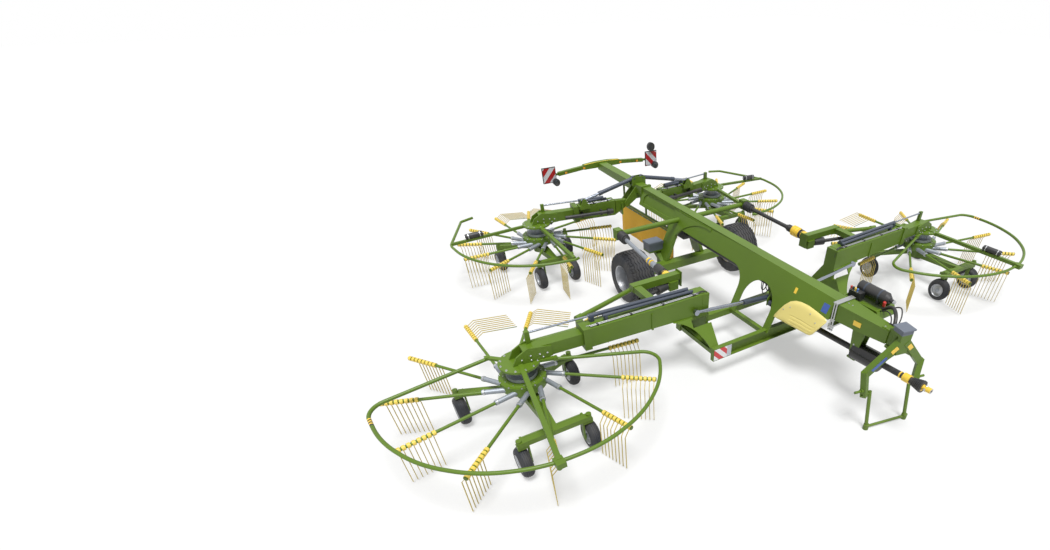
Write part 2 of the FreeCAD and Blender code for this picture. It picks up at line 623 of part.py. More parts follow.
def make_cardan():
    """The main shaft under the beam, from the front gearbox back to the transverse tube."""
    shaft = rod((PTO_START[0] + 40, 0, CARDAN_Z - 40), (DRIVE_TUBE_X + 100, 0, CARDAN_Z), CARDAN_RADIUS)
    gearbox = box(PTO_START[0] - 130, PTO_START[0] + 60, -90, 90, PTO_START[1] - 110, beam_low(PTO_START[0]))
    rear = box(DRIVE_TUBE_X - 90, DRIVE_TUBE_X + 130, -100, 100, CARDAN_Z - 100, beam_low(DRIVE_TUBE_X))
    return joined(shaft, gearbox, rear).cut([make_axle_frame(), make_beam()])


def pto_z(x):
    return PTO_START[1] + (PTO_TIP[1] - PTO_START[1]) * (x - PTO_START[0]) / (PTO_TIP[0] - PTO_START[0])


def make_pto_shaft():
    x0, x1 = PTO_START[0] + 64, PTO_TIP[0] - 110
    bell0, bell1 = PTO_BELL_X
    tube = rod((x0, 0, pto_z(x0)), (x1 - 140, 0, pto_z(x1 - 140)), PTO_RADIUS)
    bell = rod((bell0, 0, pto_z(bell0)), (bell1, 0, pto_z(bell1)), PTO_BELL_RADIUS)
    bearing = rod((bell0 - 60, 0, pto_z(bell0 - 60)), (bell0 + 5, 0, pto_z(bell0 + 5)), 64)
    ring = rod((x1 - 300, 0, pto_z(x1 - 300)), (x1 - 200, 0, pto_z(x1 - 200)), PTO_RADIUS + 16)
    cup = cone((x1 - 160, 0, pto_z(x1 - 160)), (x1 - 10, 0, pto_z(x1 - 10)), PTO_RADIUS + 6, 78)
    yoke = rod((x1 - 20, 0, pto_z(x1 - 20)), (PTO_TIP[0], 0, PTO_TIP[1]), 36)
    shape = joined(tube, bell, bearing, ring, cup, yoke)
    bore = rod((PTO_TIP[0] - 70, 0, pto_z(PTO_TIP[0] - 70)), (PTO_TIP[0] + 10, 0, pto_z(PTO_TIP[0] + 10)),
               17.5)
    hanger = make_drawbar()
    return shape.cut([bore, hanger])


# --- toolbox, curtain, transport wheel ---

def make_toolbox():
    x0, x1 = TOOLBOX_X
    y0, y1 = TOOLBOX_Y
    z0, z1 = TOOLBOX_Z
    return joined(box(x0, x1, y0, y1, z0, z1 - 40), box(x0 - 12, x1 + 12, y0 - 12, y1 + 12, z1 - 45, z1))


def make_curtain():
    half = CURTAIN_THICKNESS / 2
    return box(CURTAIN_X[0], CURTAIN_X[1], -half, half, CURTAIN_Z[0], CURTAIN_Z[1])


def curtain_rod():
    z = CURTAIN_Z[1]
    rail = rod((CURTAIN_X[0] - 20, 0, z), (CURTAIN_X[1] + 20, 0, z), CURTAIN_ROD)
    front_x, rear_x = CURTAIN_X[1] - 200, CURTAIN_X[0] + 150
    front = rod((BEAM_REAR_X - 30, 0, z), (BEAM_REAR_X - 30, 0, BEAM_LOW_REAR + 60), CURTAIN_ROD)
    rear = rod((rear_x, 0, z), (rear_x, 0, spine_top(rear_x) - SPINE_HEIGHT / 2), CURTAIN_ROD)
    nose = rod((front_x, 0, z), (front_x, 0, beam_low(front_x)), CURTAIN_ROD)
    return joined(rail, front, rear, nose)


def ring(profile_points, y):
    """A solid of revolution about a line along Y: points are radius and distance along Y."""
    corners = [Vector(radius, along, 0) for radius, along in profile_points]
    face = Part.Face(Part.makePolygon(corners + [corners[0]]))
    shape = face.revolve(Vector(0, 0, 0), Y_AXIS, 360)
    shape.translate(Vector(0, y, 0))
    return shape


def make_transport_wheel(side):
    half, shoulder = TYRE_WIDTH / 2, TYRE_SHOULDER
    bore = STUB_RADIUS + PIN_FIT
    dish = half - RIM_INSET
    outer = [(bore, -60), (bore, 60), (HUB_RADIUS, 60), (HUB_RADIUS, 20), (RIM_RADIUS - 30, 20),
             (RIM_RADIUS - 22, dish), (RIM_RADIUS - 15, half - 30), (RIM_RADIUS, half - 18),
             (RIM_RADIUS + 40, half), (TYRE_RADIUS - shoulder * 1.2, half - 6),
             (TYRE_RADIUS - 8, half - shoulder), (TYRE_RADIUS, half - shoulder * 2)]
    inner = [(radius, -along) for radius, along in reversed(outer)][:-2]
    shape = ring(outer + inner, 0)
    shape.translate(Vector(0, side * WHEEL_Y, TYRE_RADIUS))
    return shape


def make_small_wheel(centre):
    half, shoulder = WHEEL_WIDTH / 2, WHEEL_SHOULDER
    bore = WHEEL_STUB + PIN_FIT
    outer = [(bore, half - 20), (45, half - 20), (60, half - 45), (108, half - 40), (118, half - 12),
             (135, half), (WHEEL_RADIUS - shoulder, half - 3), (WHEEL_RADIUS - 8, half - shoulder),
             (WHEEL_RADIUS, half - shoulder * 1.6)]
    inner = [(radius, -along) for radius, along in reversed(outer)]
    shape = ring(outer + inner, 0)
    shape.translate(Vector(centre[0], centre[1], WHEEL_RADIUS))
    return shape


# --- folding booms, drawn about the rotor's axis with +Y inboard, then swept and seated ---

def seated(shape, spec):
    shape.rotate(Vector(0, 0, 0), Z_AXIS, -spec["sweep"])
    shape.translate(Vector(spec["axis_x"], -spec["axis_y"], 0))
    return shape


def placed(shape, spec):
    shape.translate(Vector(spec["axis_x"], -spec["axis_y"], 0))
    return shape


def make_boom_box(spec):
    """Outer boom: a hollow box with a wear collar at its mouth in which the inner beam slides."""
    width, low = spec["box"]
    near, far = spec["box_top"]
    mouth, end = spec["collar"], spec["box_inner"]
    half = INNER_WIDTH / 2
    bottom = INNER_TOP - INNER_HEIGHT
    body = prism([(mouth, low), (end, low), (end, near), (mouth, far)], "x", -width / 2, width / 2)
    bore = box(-half - BOX_GAP, half + BOX_GAP, mouth + COLLAR_LENGTH, spec["bore_end"],
               bottom - BOX_GAP, INNER_TOP + BOX_GAP)
    collar = box(-half - COLLAR_WALL - 30, half + COLLAR_WALL + 30, mouth - 10, mouth + COLLAR_LENGTH,
                 low - 22, far + 22)
    throat = box(-half - SLIDE_FIT, half + SLIDE_FIT, mouth - 20, mouth + COLLAR_LENGTH + 1,
                 bottom - SLIDE_FIT, INNER_TOP + SLIDE_FIT)
    flange = box(-width / 2 - 14, width / 2 + 14, mouth + 1010, mouth + 1035, low - 12, far - 30)
    return seated(joined(body, collar, flange).cut([bore, throat]), spec)


def front_foot_outline(inset):
    """Front view of the foot: upright inner edge, arched outer edge from boom to hinge."""
    y, z = -FRONT_PIVOT_Y, FRONT_PIVOT_Z
    top, under = FRONT["box_top"][0] - 4, FRONT["box"][1] + 5
    begin = Vector(-REACH, y - 565, under)
    finish = Vector(-REACH, y - 75, z - 35)
    arc = Part.Arc(begin, Vector(-REACH, y - 210, z + 285), finish).toShape()
    corners = [finish, Vector(-REACH, y + 55 - inset, z - 35), Vector(-REACH, y + 55 - inset, top),
               Vector(-REACH, y - 60, top), Vector(-REACH, y - 60, under), begin]
    edges = [arc] + [Part.LineSegment(a, b).toShape() for a, b in zip(corners, corners[1:])]
    return Part.Face(Part.Wire(edges)).extrude(X_AXIS * 2 * REACH)


def front_foot_side(inset):
    """Side view of the foot: as wide as the boom at the top, the whole hinge wide below."""
    x0, x1 = FRONT_FOOT_X[0] + inset, FRONT_FOOT_X[1] - inset
    width = FRONT["box"][0] / 2
    middle = FRONT["axis_x"] + (FRONT["axis_y"] - FRONT_PIVOT_Y) * tan(radians(FRONT["sweep"]))
    left, right = middle - width + inset, middle + width - inset
    under = FRONT["box"][1]
    return profile([(left, 2000), (right, 2000), (right, under), (x1, FRONT_PIVOT_Z + 80), (x1, 300),
                    (x0, 300), (x0, FRONT_PIVOT_Z + 80), (left, under)])


def rod_slot():
    """Opening in the foot for the lift rod, which swings through it as the boom folds up."""
    x, (y, _) = FRONT_CYLINDER_X[-1], FRONT_BOSS
    return box(x - ROD_SLOT_HALF, x + ROD_SLOT_HALF, y - ROD_SLOT_OUT, y + ROD_SLOT_IN, *ROD_SLOT_Z)


def make_front_foot():
    y, z = -FRONT_PIVOT_Y, FRONT_PIVOT_Z
    x0, x1 = FRONT_FOOT_X
    solid = front_foot_outline(0).common(front_foot_side(0))
    pocket = box(-REACH, REACH, y - 2000, y + 10, z + 45, FRONT["box"][1] - 22)
    solid = solid.cut([pocket.common(front_foot_side(18)), rod_slot()])
    tube = rod((x0, y, z), (x1, y, z), PIVOT_KNUCKLE)
    pin = rod((REAR_CROSS_X + 3, y, z), (CHANNEL_X + CHANNEL_WALL - 1, y, z), PIVOT_PIN)
    return joined(solid, tube, pin)


def make_front_bracket():
    """Arm on the boom's rear side that carries the drive and the outer half of the brace tube."""
    cross = box(1625, 1745, -2190, -1340, 1150, 1250)
    plate = box(1605, 1765, -1352, -1336, 1040, 1275)
    forward = bar((1690, -2125, 1198), (2260, -2125, 1186), 120, 88)
    tail = bar((1660, -2060, 1165), (1452, -2060, 1060), 90, 60)
    brace = rod((1440, -2020, 1050), (1800, -3160, 1050), 36)
    clip = rod((1770, -3065, 1050), (1803, -3170, 1050), 46)
    return joined(cross, plate, forward, tail, brace, clip)


def make_front_boom():
    return joined(make_boom_box(FRONT), make_front_foot(), make_front_bracket())


def make_front_gear():
    """Clutch and angle gearbox on the bracket, with the shaft tube that runs out along the boom."""
    clutch = rod((1505, -SIDE_SHAFT_END[1], SIDE_SHAFT_END[2]), (1625, -SIDE_SHAFT_END[1], SIDE_SHAFT_END[2]),
                 BELL_RADIUS * 0.85)
    housing = box(1630, 1770, -1560, -1400, 1010, 1150)
    neck = cone((1700, -1560, 1080), (1712, -1640, 1080), 62, 50)
    shaft = rod((1700, -1550, 1080), (2065, -3000, 1080), SIDE_SHAFT_RADIUS - 4)
    cup = cone((1712, -1600, 1080), (1760, -1790, 1080), 60, 66)
    return joined(clutch, housing, neck, shaft, cup)


def make_stroke_cylinder(spec):
    """Barrel on top of the boom, parallel to it, that pushes the inner beam out."""
    top = spec["box_top"][0] + 36
    x, y0, y1 = -spec["box"][0] / 2 + 48, spec["collar"] + 150, spec["box_inner"] - 190
    barrel = rod((x, y0, top), (x, y1, top), 30)
    bore = rod((x, y0 - 1, top), (x, y0 + 620, top), 14 + PIN_FIT)
    blocks = [box(x - 40, x + 40, y, y + 60, spec["box_top"][1] - 5, top) for y in (y0 + 10, y1 - 60)]
    second = rod((x + 78, y0 + 180, top - 4), (x + 78, y1 + 40, top - 4), 22)
    blocks += [box(x + 50, x + 106, y, y + 40, spec["box_top"][1] - 5, top) for y in (y0 + 200, y1 - 20)]
    shape = joined(barrel, second, *blocks).cut(bore)
    return seated(shape, spec)


def make_stroke_rod(spec):
    top = spec["box_top"][0] + 36
    x = -spec["box"][0] / 2 + 48
    stem = rod((x, 180, top), (x, spec["collar"] + 560, top), 14)
    eye = box(x - 26, x + 26, 150, 215, INNER_TOP - 2, top + 24)
    return joined(stem, eye)


def make_rear_boom():
    y, z = -REAR_PIVOT_Y, REAR_PIVOT_Z
    half = REAR_KNUCKLE_HALF
    tube = rod((REAR_PIVOT_X - half, y, z), (REAR_PIVOT_X + half, y, z), PIVOT_KNUCKLE)
    edge = half + REAR_PLATE_GAP + REAR_PLATE - 1
    pin = rod((REAR_PIVOT_X - edge, y, z), (REAR_PIVOT_X + edge, y, z), PIVOT_PIN)
    neck = prism([(y + 10, z - 62), (y - 240, REAR["box"][1] + 8), (y - 240, REAR["box_top"][0] - 8),
                  (y + 10, z + 62)], "x", REAR_PIVOT_X - half, REAR_PIVOT_X + half)
    eye_y, eye_z = REAR_BOSS
    lugs = []
    for sign in (-1, 1):
        x = REAR_PIVOT_X + sign * (EYE_WIDTH / 2 + 14)
        lugs.append(prism([(eye_y - 110, 1170), (eye_y + 110, 1170), (eye_y + 30, eye_z + 30),
                           (eye_y - 30, eye_z + 30)], "x", x - 8, x + 8))
    base = box(REAR_PIVOT_X - 110, REAR_PIVOT_X + 60, eye_y - 110, eye_y + 110, 1160, 1222)
    return joined(make_boom_box(REAR), tube, pin, neck, base, *lugs)


def make_rear_gear():
    """Stub shaft guard from the spine side out towards the rotor, under the boom's front edge."""
    shaft = rod((190, 560, 1045), (190, 1500, 1045), 32)
    cup = cone((190, 1440, 1045), (190, 1560, 1045), 58, 46)
    strap = [box(100, 200, y, y + 36, 1000, 1090) for y in (900, 1300)]
    return joined(seated(joined(shaft, cup, *strap).cut(plain_box(REAR)), REAR), make_stroke_cylinder(REAR))


def plain_box(spec):
    width, low = spec["box"]
    return box(-width / 2, width / 2, spec["collar"] - 10, spec["box_inner"], low, spec["box_top"][0])


# --- lift cylinders: barrel on the chassis, rod whose eye lies beside its lug on the boom ---

def cylinder_line(anchor, boss):
    length = hypot(boss[0] - anchor[0], boss[1] - anchor[1])
    return (boss[0] - anchor[0]) / length, (boss[1] - anchor[1]) / length


def make_lift_barrel(x, anchor, boss, length):
    dy, dz = cylinder_line(anchor, boss)

    def at(distance):
        return (x, anchor[0] + dy * distance, anchor[1] + dz * distance)

    eye = rod((x - EYE_WIDTH / 2, *anchor), (x + EYE_WIDTH / 2, *anchor), EYE_RADIUS)
    pin = rod((x - lug_half(), *anchor), (x + lug_half(), *anchor), LUG_PIN)
    tube = rod(at(20), at(length), BARREL_RADIUS - 4)
    gland = rod(at(length - 70), at(length), BARREL_RADIUS)
    bore = rod(at(EYE_RADIUS + 12), at(length + 5), ROD_RADIUS + PIN_FIT)
    return joined(eye, pin, tube, gland).cut(bore)


def make_lift_rod(x, anchor, boss, length):
    dy, dz = cylinder_line(anchor, boss)
    start = (x, boss[0] - dy * length, boss[1] - dz * length)
    stem = rod(start, (x, boss[0] - dy * 10, boss[1] - dz * 10), ROD_RADIUS)
    eye = rod((x - 25, *boss), (x + 25, *boss), EYE_RADIUS - 4)
    return joined(stem, eye)


# --- rotor heads with their wheels and guards ---

def wheel_spots(spec):
    return [(spec["wheel_x"], -spec["wheel_half"]), (spec["wheel_x"], spec["wheel_half"]),
            (spec["rear_wheel_x"], -spec["rear_wheel_half"]), (spec["rear_wheel_x"], spec["rear_wheel_half"])]


def wheel_fork(x, y):
    """Upright beside a small wheel, a bridge over it and the stub that it turns on."""
    inward = -1 if y > 0 else 1
    inner = y + inward * (WHEEL_WIDTH / 2 + 8)
    outer = inner + inward * FORK_PLATE
    plate = box(x - 32, x + 32, min(inner, outer), max(inner, outer), WHEEL_RADIUS - 34, CARRIER_TOP - 20)
    bridge = box(x - 38, x + 38, min(outer, y - inward * 38), max(outer, y - inward * 38),
                 WHEEL_RADIUS * 2 + 18, CARRIER_TOP - 40)
    king = rod((x, y, WHEEL_RADIUS * 2 + 20), (x, y, CARRIER_TOP + 22), 36)
    stub = rod((x, inner + inward * 5, WHEEL_RADIUS), (x, y - inward * 62, WHEEL_RADIUS), WHEEL_STUB)
    collar = rod((x, inner + inward * 2, WHEEL_RADIUS), (x, inner - inward * 5, WHEEL_RADIUS), 30)
    return joined(plate, bridge, king, stub, collar)


def make_carrier(spec):
    """Beam under the rotor with its cross beam in front, and an arm to each rear wheel."""
    x, half = spec["wheel_x"], spec["wheel_half"]
    low, high = CARRIER_LOW, CARRIER_TOP
    spar = prism([(-130, -95), (60, -105), (x - 30, -48), (x - 30, 48), (60, 105), (-130, 95)],
                 "z", low, high)
    cross = box(x - 45, x + 45, -half - 20, half + 20, high - 70, high)
    tie = rod((x - 115, -half + 40, high - 55), (x - 115, half - 40, high - 55), 13)
    ends = [box(x - 125, x, side * (half - 50) - 14, side * (half - 50) + 14, high - 75, high - 35)
            for side in (-1, 1)]
    arms = []
    for side in (-1, 1):
        tip = (spec["rear_wheel_x"], side * (spec["rear_wheel_half"] - 30), low + 50)
        arms.append(bar((-60, 0, low + 50), tip, 90, 70))
    forks = [wheel_fork(*spot) for spot in wheel_spots(spec)]
    return joined(spar, cross, tie, *ends, *arms, *forks)


def hoop_points(spec, step=21.0):
    radius = spec["guard_radius"]
    start, stop = spec["guard_from"], spec["guard_to"]
    count = int(round((stop - start) / step))
    angles = [radians(start + (stop - start) * index / count) for index in range(count + 1)]
    return [(radius * cos(angle), radius * sin(angle), GUARD_Z) for angle in angles]


def hoop(points, first_bend, last_bend, radius):
    """A guard hoop: wide bends round the arc and close ones where the straight ends join it."""
    bends = [first_bend] + [radius] * (len(points) - 4) + [last_bend]
    return varied_tube(points, GUARD_TUBE, bends)


def varied_tube(points, radius, bends):
    points = [Vector(*point) for point in points]
    edges = []
    here = points[0]
    for before, corner, after, bend in zip(points, points[1:], points[2:], bends):
        back = (before - corner).normalize()
        ahead = (after - corner).normalize()
        half = back.getAngle(ahead) / 2
        reach = min(bend / tan(half), 0.45 * (before - corner).Length, 0.45 * (after - corner).Length)
        arc_radius = reach * tan(half)
        middle = corner + (back + ahead).normalize() * (arc_radius / sin(half) - arc_radius)
        begin = corner + back * reach
        finish = corner + ahead * reach
        edges.append(Part.LineSegment(here, begin).toShape())
        edges.append(Part.Arc(begin, middle, finish).toShape())
        here = finish
    edges.append(Part.LineSegment(here, points[-1]).toShape())
    return swept(edges, points[0], points[1] - points[0], radius)


def make_front_guard():
    arc = hoop_points(FRONT)
    points = [(-316, -319, 925)] + arc + [(164, 431, 925)]
    ring_tube = hoop(points, GUARD_BEND, GUARD_BEND, FRONT["guard_radius"])
    roots = [box(-346, -286, -349, -289, 915, 960), box(134, 194, 401, 461, 915, 960),
             bar((-316, -319, 940), (-60, -60, 940), 60, 34), bar((164, 431, 940), (60, 100, 940), 60, 34)]
    tip = (FRONT["guard_radius"] - 5, -262, GUARD_Z)
    arm = bar((80, -10, 945), (tip[0] - 40, tip[1] + 5, GUARD_Z + 14), 62, 56)
    clamp = bar((tip[0] - 90, tip[1], GUARD_Z + 4), (tip[0] + 45, tip[1], GUARD_Z + 4), 110, 70)
    return joined(ring_tube, *roots, arm, clamp)


def make_rear_guard():
    arc = hoop_points(REAR)
    points = [(-1340, -900, GUARD_Z), (-1230, -1170, GUARD_Z)] + arc
    points.append((REAR["guard_radius"] - 30, 130, GUARD_Z))
    ring_tube = varied_tube(points, GUARD_TUBE, [60, 400] + [REAR["guard_radius"]] * (len(arc) - 2) + [60])
    arm = bar((80, 0, 945), (REAR["guard_radius"] - 20, 40, GUARD_Z + 14), 62, 56)
    side = bar((-30, -60, 940), (-150, -REAR["guard_radius"] + 25, GUARD_Z + 10), 50, 46)
    return joined(ring_tube, arm, side)


def make_boom_end(spec):
    """Inner beam with the cheeks, drive inlet and stroke rod that follow the boom's sweep."""
    half = INNER_WIDTH / 2
    beam = box(-half, half, 200, spec["beam_inner"], INNER_TOP - INNER_HEIGHT, INNER_TOP)
    cheeks = [prism([(-120, HEAD_PLATE[0]), (430, INNER_TOP - INNER_HEIGHT + 5), (430, INNER_TOP - 20),
                     (120, INNER_TOP + 25), (-40, INNER_TOP - 60)], "x", x, x + 24)
              for x in (-half - 24, half)]
    top = box(-half - 10, half + 10, 60, 240, INNER_TOP - 60, INNER_TOP - 2)
    inlet = rod((-150, 60, 900), (-150, 330, 900), 52)
    inlet_base = box(-175, -60, 20, 110, 840, 945)
    return [beam, *cheeks, top, inlet, inlet_base, make_stroke_rod(spec)]


def make_head(spec):
    """Head plate, gearbox and fixed column in the middle of the rotor, with the wheels' carrier."""
    plate = rod((0, 0, HEAD_PLATE[0]), (0, 0, HEAD_PLATE[1]), HEAD_RADIUS)
    gearbox = cone((0, 0, HUB_HIGH + 14), (0, 0, HEAD_PLATE[0] + 2), GEARBOX_RADIUS * 0.8, GEARBOX_RADIUS)
    drum = rod((0, 0, HUB_HIGH + 14), (0, 0, HUB_HIGH + 60), GEARBOX_RADIUS * 1.35)
    column = rod((0, 0, CARRIER_LOW - 20), (0, 0, HUB_HIGH + 30), COLUMN_RADIUS)
    flange = rod((0, 0, CARRIER_LOW - 20), (0, 0, CARRIER_TOP + 40), COLUMN_RADIUS + 50)
    return [plate, gearbox, drum, column, flange, make_carrier(spec)]


def make_frame(spec, guard, extras):
    swept_parts = seated(joined(*make_boom_end(spec), *extras), spec)
    straight_parts = placed(joined(*make_head(spec), guard), spec)
    return joined(swept_parts, straight_parts)


def make_front_frame():
    brace = rod((-328, 1030, 978), (-328, 180, 978), 27)
    foot = bar((-340, 200, 968), (-150, 60, 958), 90, 40)
    return make_frame(FRONT, make_front_guard(), [brace, foot])


def make_rear_frame():
    return make_frame(REAR, make_rear_guard(), [])


# --- rotors ---

def tine_outline(raised):
    """Side view of a tine: out from its coil, then down; the lifted ones are turned up together."""
    low = -(FRONT["arm_z"] - TINE_GROUND)
    half = TINE / 2
    points = [(-half, 0), (TINE_OUT - half, -TINE_FALL), (TINE_OUT + 15 - half, low),
              (TINE_OUT + 15 + half, low), (TINE_OUT + half, -TINE_FALL), (half, 0)]
    turn = radians(RAISED_TURN if raised else 0)
    return [(y * cos(turn) - z * sin(turn), y * sin(turn) + z * cos(turn)) for y, z in points]


def make_arm(spec, raised):
    """One arm along +X at its offset from the rotor's axis, with coils and tines."""
    y, z = spec["offset"], spec["arm_z"]
    tip = sqrt(spec["reach"] ** 2 - y ** 2)
    socket = rod((180, y, z), (SOCKET_END, y, z), SOCKET_RADIUS)
    tube = rod((SOCKET_END - 30, y, z), (tip, y, z), ARM_RADIUS)
    cap = rod((tip - 12, y, z), (tip, y, z), ARM_RADIUS + 5)
    shapes = [socket, tube, cap]
    outline = [(y - side, z + up) for side, up in tine_outline(raised)]
    for index in range(TINES_PER_ARM):
        x = tip - 30 - index * TINE_SPACING
        shapes.append(rod((x - COIL_LENGTH / 2, y, z), (x + COIL_LENGTH / 2, y, z), COIL_RADIUS))
        shapes.append(prism(outline, "x", x - TINE / 2, x + TINE / 2))
    return joined(*shapes)


def make_rotor(spec):
    hub = rod((0, 0, HUB_LOW), (0, 0, HUB_HIGH), HUB_OUTER)
    cover = cone((0, 0, HUB_HIGH - 2), (0, 0, HUB_HIGH + 6), HUB_OUTER - 30, HUB_OUTER - 60)
    skirt = rod((0, 0, HUB_LOW - 14), (0, 0, HUB_LOW + 2), HUB_OUTER - 60)
    plain, lifted = make_arm(spec, False), make_arm(spec, True)
    arms = []
    for index in range(spec["arms"]):
        arm = (lifted if index in spec["raised"] else plain).copy()
        arm.rotate(Vector(0, 0, 0), Z_AXIS, spec["phase"] + 360.0 * index / spec["arms"])
        arms.append(arm)
    bore = rod((0, 0, HUB_LOW - 50), (0, 0, HUB_HIGH + 50), COLUMN_RADIUS + PIN_FIT)
    shape = joined(hub, cover, skirt, *arms).cut(bore)
    return placed(shape, spec)


# --- headstock and parking stand, drawn straight ahead of the hitch pivot, then turned ---

def turned(shape):
    shape.rotate(Vector(0, 0, 0), Z_AXIS, HEAD_TURN)
    shape.translate(Vector(HEAD_PIVOT_X, 0, 0))
    return shape


def make_headstock():
    low, high = DRAWBAR_LOW_END - 10, DRAWBAR_TOP_END + 10
    plates = [box(-75, 150, -85, 85, low - 38, low), box(-75, 150, -85, 85, high, high + 38)]
    web = box(92, 150, -85, 85, low - 38, high + 38)
    pieces = [*plates, web]
    for side in (-1, 1):
        bend = (HEAD_BEND[0], side * HEAD_BEND[1], HEAD_BEND[2])
        knee = (HEAD_KNEE[0], side * HEAD_KNEE[1], HEAD_KNEE[2])
        pieces.append(bar((115, side * 40, 1235), (bend[0], bend[1], bend[2] - 20), HEAD_LEG, HEAD_LEG + 15))
        pieces.append(bar((bend[0], bend[1], bend[2] + 35), knee, HEAD_LEG, HEAD_LEG))
        brace = (bend[0] + 8, side * (HEAD_BEND[1] - 90), bend[2] + 90)
        pieces.append(bar((115, side * 30, 1120), brace, 40, 60))
        root, shoulder = side * HEAD_KNEE[1], side * (HEAD_KNEE[1] + LOWER_PIN_SHOULDER)
        end = shoulder + side * LOWER_PIN_LENGTH
        x, z = LOWER_PIN_AT
        pieces.append(rod((x, root, z), (x, shoulder, z), LOWER_PIN_RADIUS + 14))
        pieces.append(rod((x, root, z), (x, end, z), LOWER_PIN_RADIUS))
    bores = [rod((0, 0, low - 100), (0, 0, high + 100), HEAD_PIN + PIN_FIT)]
    for side in (-1, 1):
        inner, outer = side * (HEAD_KNEE[1] - STAND_BORE_HALF), side * (HEAD_KNEE[1] + STAND_BORE_HALF)
        bores.append(rod((STAND_PIVOT[0], inner, STAND_PIVOT[1]), (STAND_PIVOT[0], outer, STAND_PIVOT[1]),
                         STAND_PIN + PIN_FIT))
    return turned(joined(*pieces).cut(bores))


def make_stand():
    """A U-shaped stand between the headstock legs; its cross tube ends in two feet on the ground."""
    y = HEAD_KNEE[1] - HEAD_LEG / 2 - STAND_TUBE - STAND_GAP
    x, z = STAND_PIVOT
    foot_x, foot_z = STAND_FOOT
    over = STAND_TOP / hypot(foot_x - x, foot_z - z)
    top_x, top_z = x - over * (foot_x - x), z - over * (foot_z - z)
    pieces = [rod((foot_x, -y, foot_z), (foot_x, y, foot_z), STAND_CROSS)]
    for side in (-1, 1):
        pieces.append(rod((top_x, side * y, top_z), (foot_x, side * y, foot_z), STAND_TUBE))
        pieces.append(rod((x, side * y, z), (x, side * (HEAD_KNEE[1] + STAND_PIN_OUT), z), STAND_PIN))
        pieces.append(rod((foot_x, side * y, 0), (foot_x, side * y, STAND_FOOT_HEIGHT), STAND_FOOT_RADIUS))
    return turned(joined(*pieces))


def make_control_box():
    top = DRAWBAR_TOP_END + 48
    bore = rod((0, 0, top - 10), (0, 0, top + 20), HEAD_PIN + 6)
    case = joined(box(-20, 150, -85, 85, top, top + 55), box(-35, 165, -100, 100, top + 55, top + 75))
    return turned(case.cut(bore))


# --- all pieces ---

def side_name(side):
    return "left" if side > 0 else "right"


def chassis_pieces():
    yield "main_beam", make_main_beam()
    yield "axle_frame", make_axle_frame()
    yield "rear_spine", make_rear_spine()
    yield "warning_boards", make_warning_boards()
    yield "side_covers", make_side_covers()
    yield "drawbar", make_drawbar()
    yield "beam_clamps", make_beam_clamps()
    yield "hose_tray", make_hose_tray()
    yield "accumulator", make_accumulator()
    yield "drive_tube", make_drive_tube()
    shaft = make_side_shafts()
    yield "side_shafts", Part.makeCompound([shaft, mirrored(shaft)])
    yield "cardan_shaft", make_cardan()
    yield "pto_shaft", make_pto_shaft()
    yield "toolbox", make_toolbox()
    yield "swath_curtain", make_curtain()
    yield "headstock", make_headstock()
    yield "control_box", make_control_box()
    yield "parking_stand", make_stand()


def side_pieces():
    """Booms, cylinders, rotors and their small wheels: drawn on the right, mirrored for the left."""
    drawn = {"front": (make_front_boom(), joined(make_front_gear(), make_stroke_cylinder(FRONT)),
                       make_front_frame(), make_rotor(FRONT)),
             "rear": (make_rear_boom(), make_rear_gear(), make_rear_frame(), make_rotor(REAR))}
    lifts = {"front": (FRONT_CYLINDER_X, FRONT_ANCHOR, FRONT_BOSS, FRONT_BARREL, FRONT_ROD),
             "rear": (REAR_CYLINDER_X, REAR_ANCHOR, REAR_BOSS, REAR_BARREL, REAR_ROD)}
    for spec in (FRONT, REAR):
        boom, gear, frame, rotor = drawn[spec["name"]]
        gear = gear.cut(boom)
        across, anchor, boss, barrel, stem = lifts[spec["name"]]
        for side in (-1, 1):
            end = "_%s_%s" % (spec["name"], side_name(side))
            yield "boom" + end, on_side(boom, side)
            yield "boom_gear" + end, on_side(gear, side)
            yield "rotor_frame" + end, on_side(frame, side)
            yield "rotor" + end, on_side(rotor, side)
            yield "lift_barrel" + end, on_side(make_lift_barrel(across[side], anchor, boss, barrel), side)
            yield "lift_rod" + end, on_side(make_lift_rod(across[side], anchor, boss, stem), side)
            for index, spot in enumerate(wheel_spots(spec)):
                wheel = placed(make_small_wheel(spot), spec)
                yield "wheel%s_%d" % (end, index + 1), on_side(wheel, side)


def write_parts():
    pieces = dict(chassis_pieces())
    for side in (-1, 1):
        pieces["transport_wheel_" + side_name(side)] = make_transport_wheel(side)
    pieces.update(side_pieces())
    whole = Part.makeCompound(list(pieces.values())).BoundBox
    shift = Vector(-(whole.XMin + whole.XMax) / 2, 0, -whole.ZMin)
    os.makedirs("parts", exist_ok=True)
    for name, shape in pieces.items():
        shape.translate(shift)
        shape.exportStep("parts/%s.step" % name)
    print("origin moved by", shift, "size", whole.XLength, whole.YLength, whole.ZLength)


if __name__ == "__main__":
    write_parts()
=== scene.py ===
import json
import math

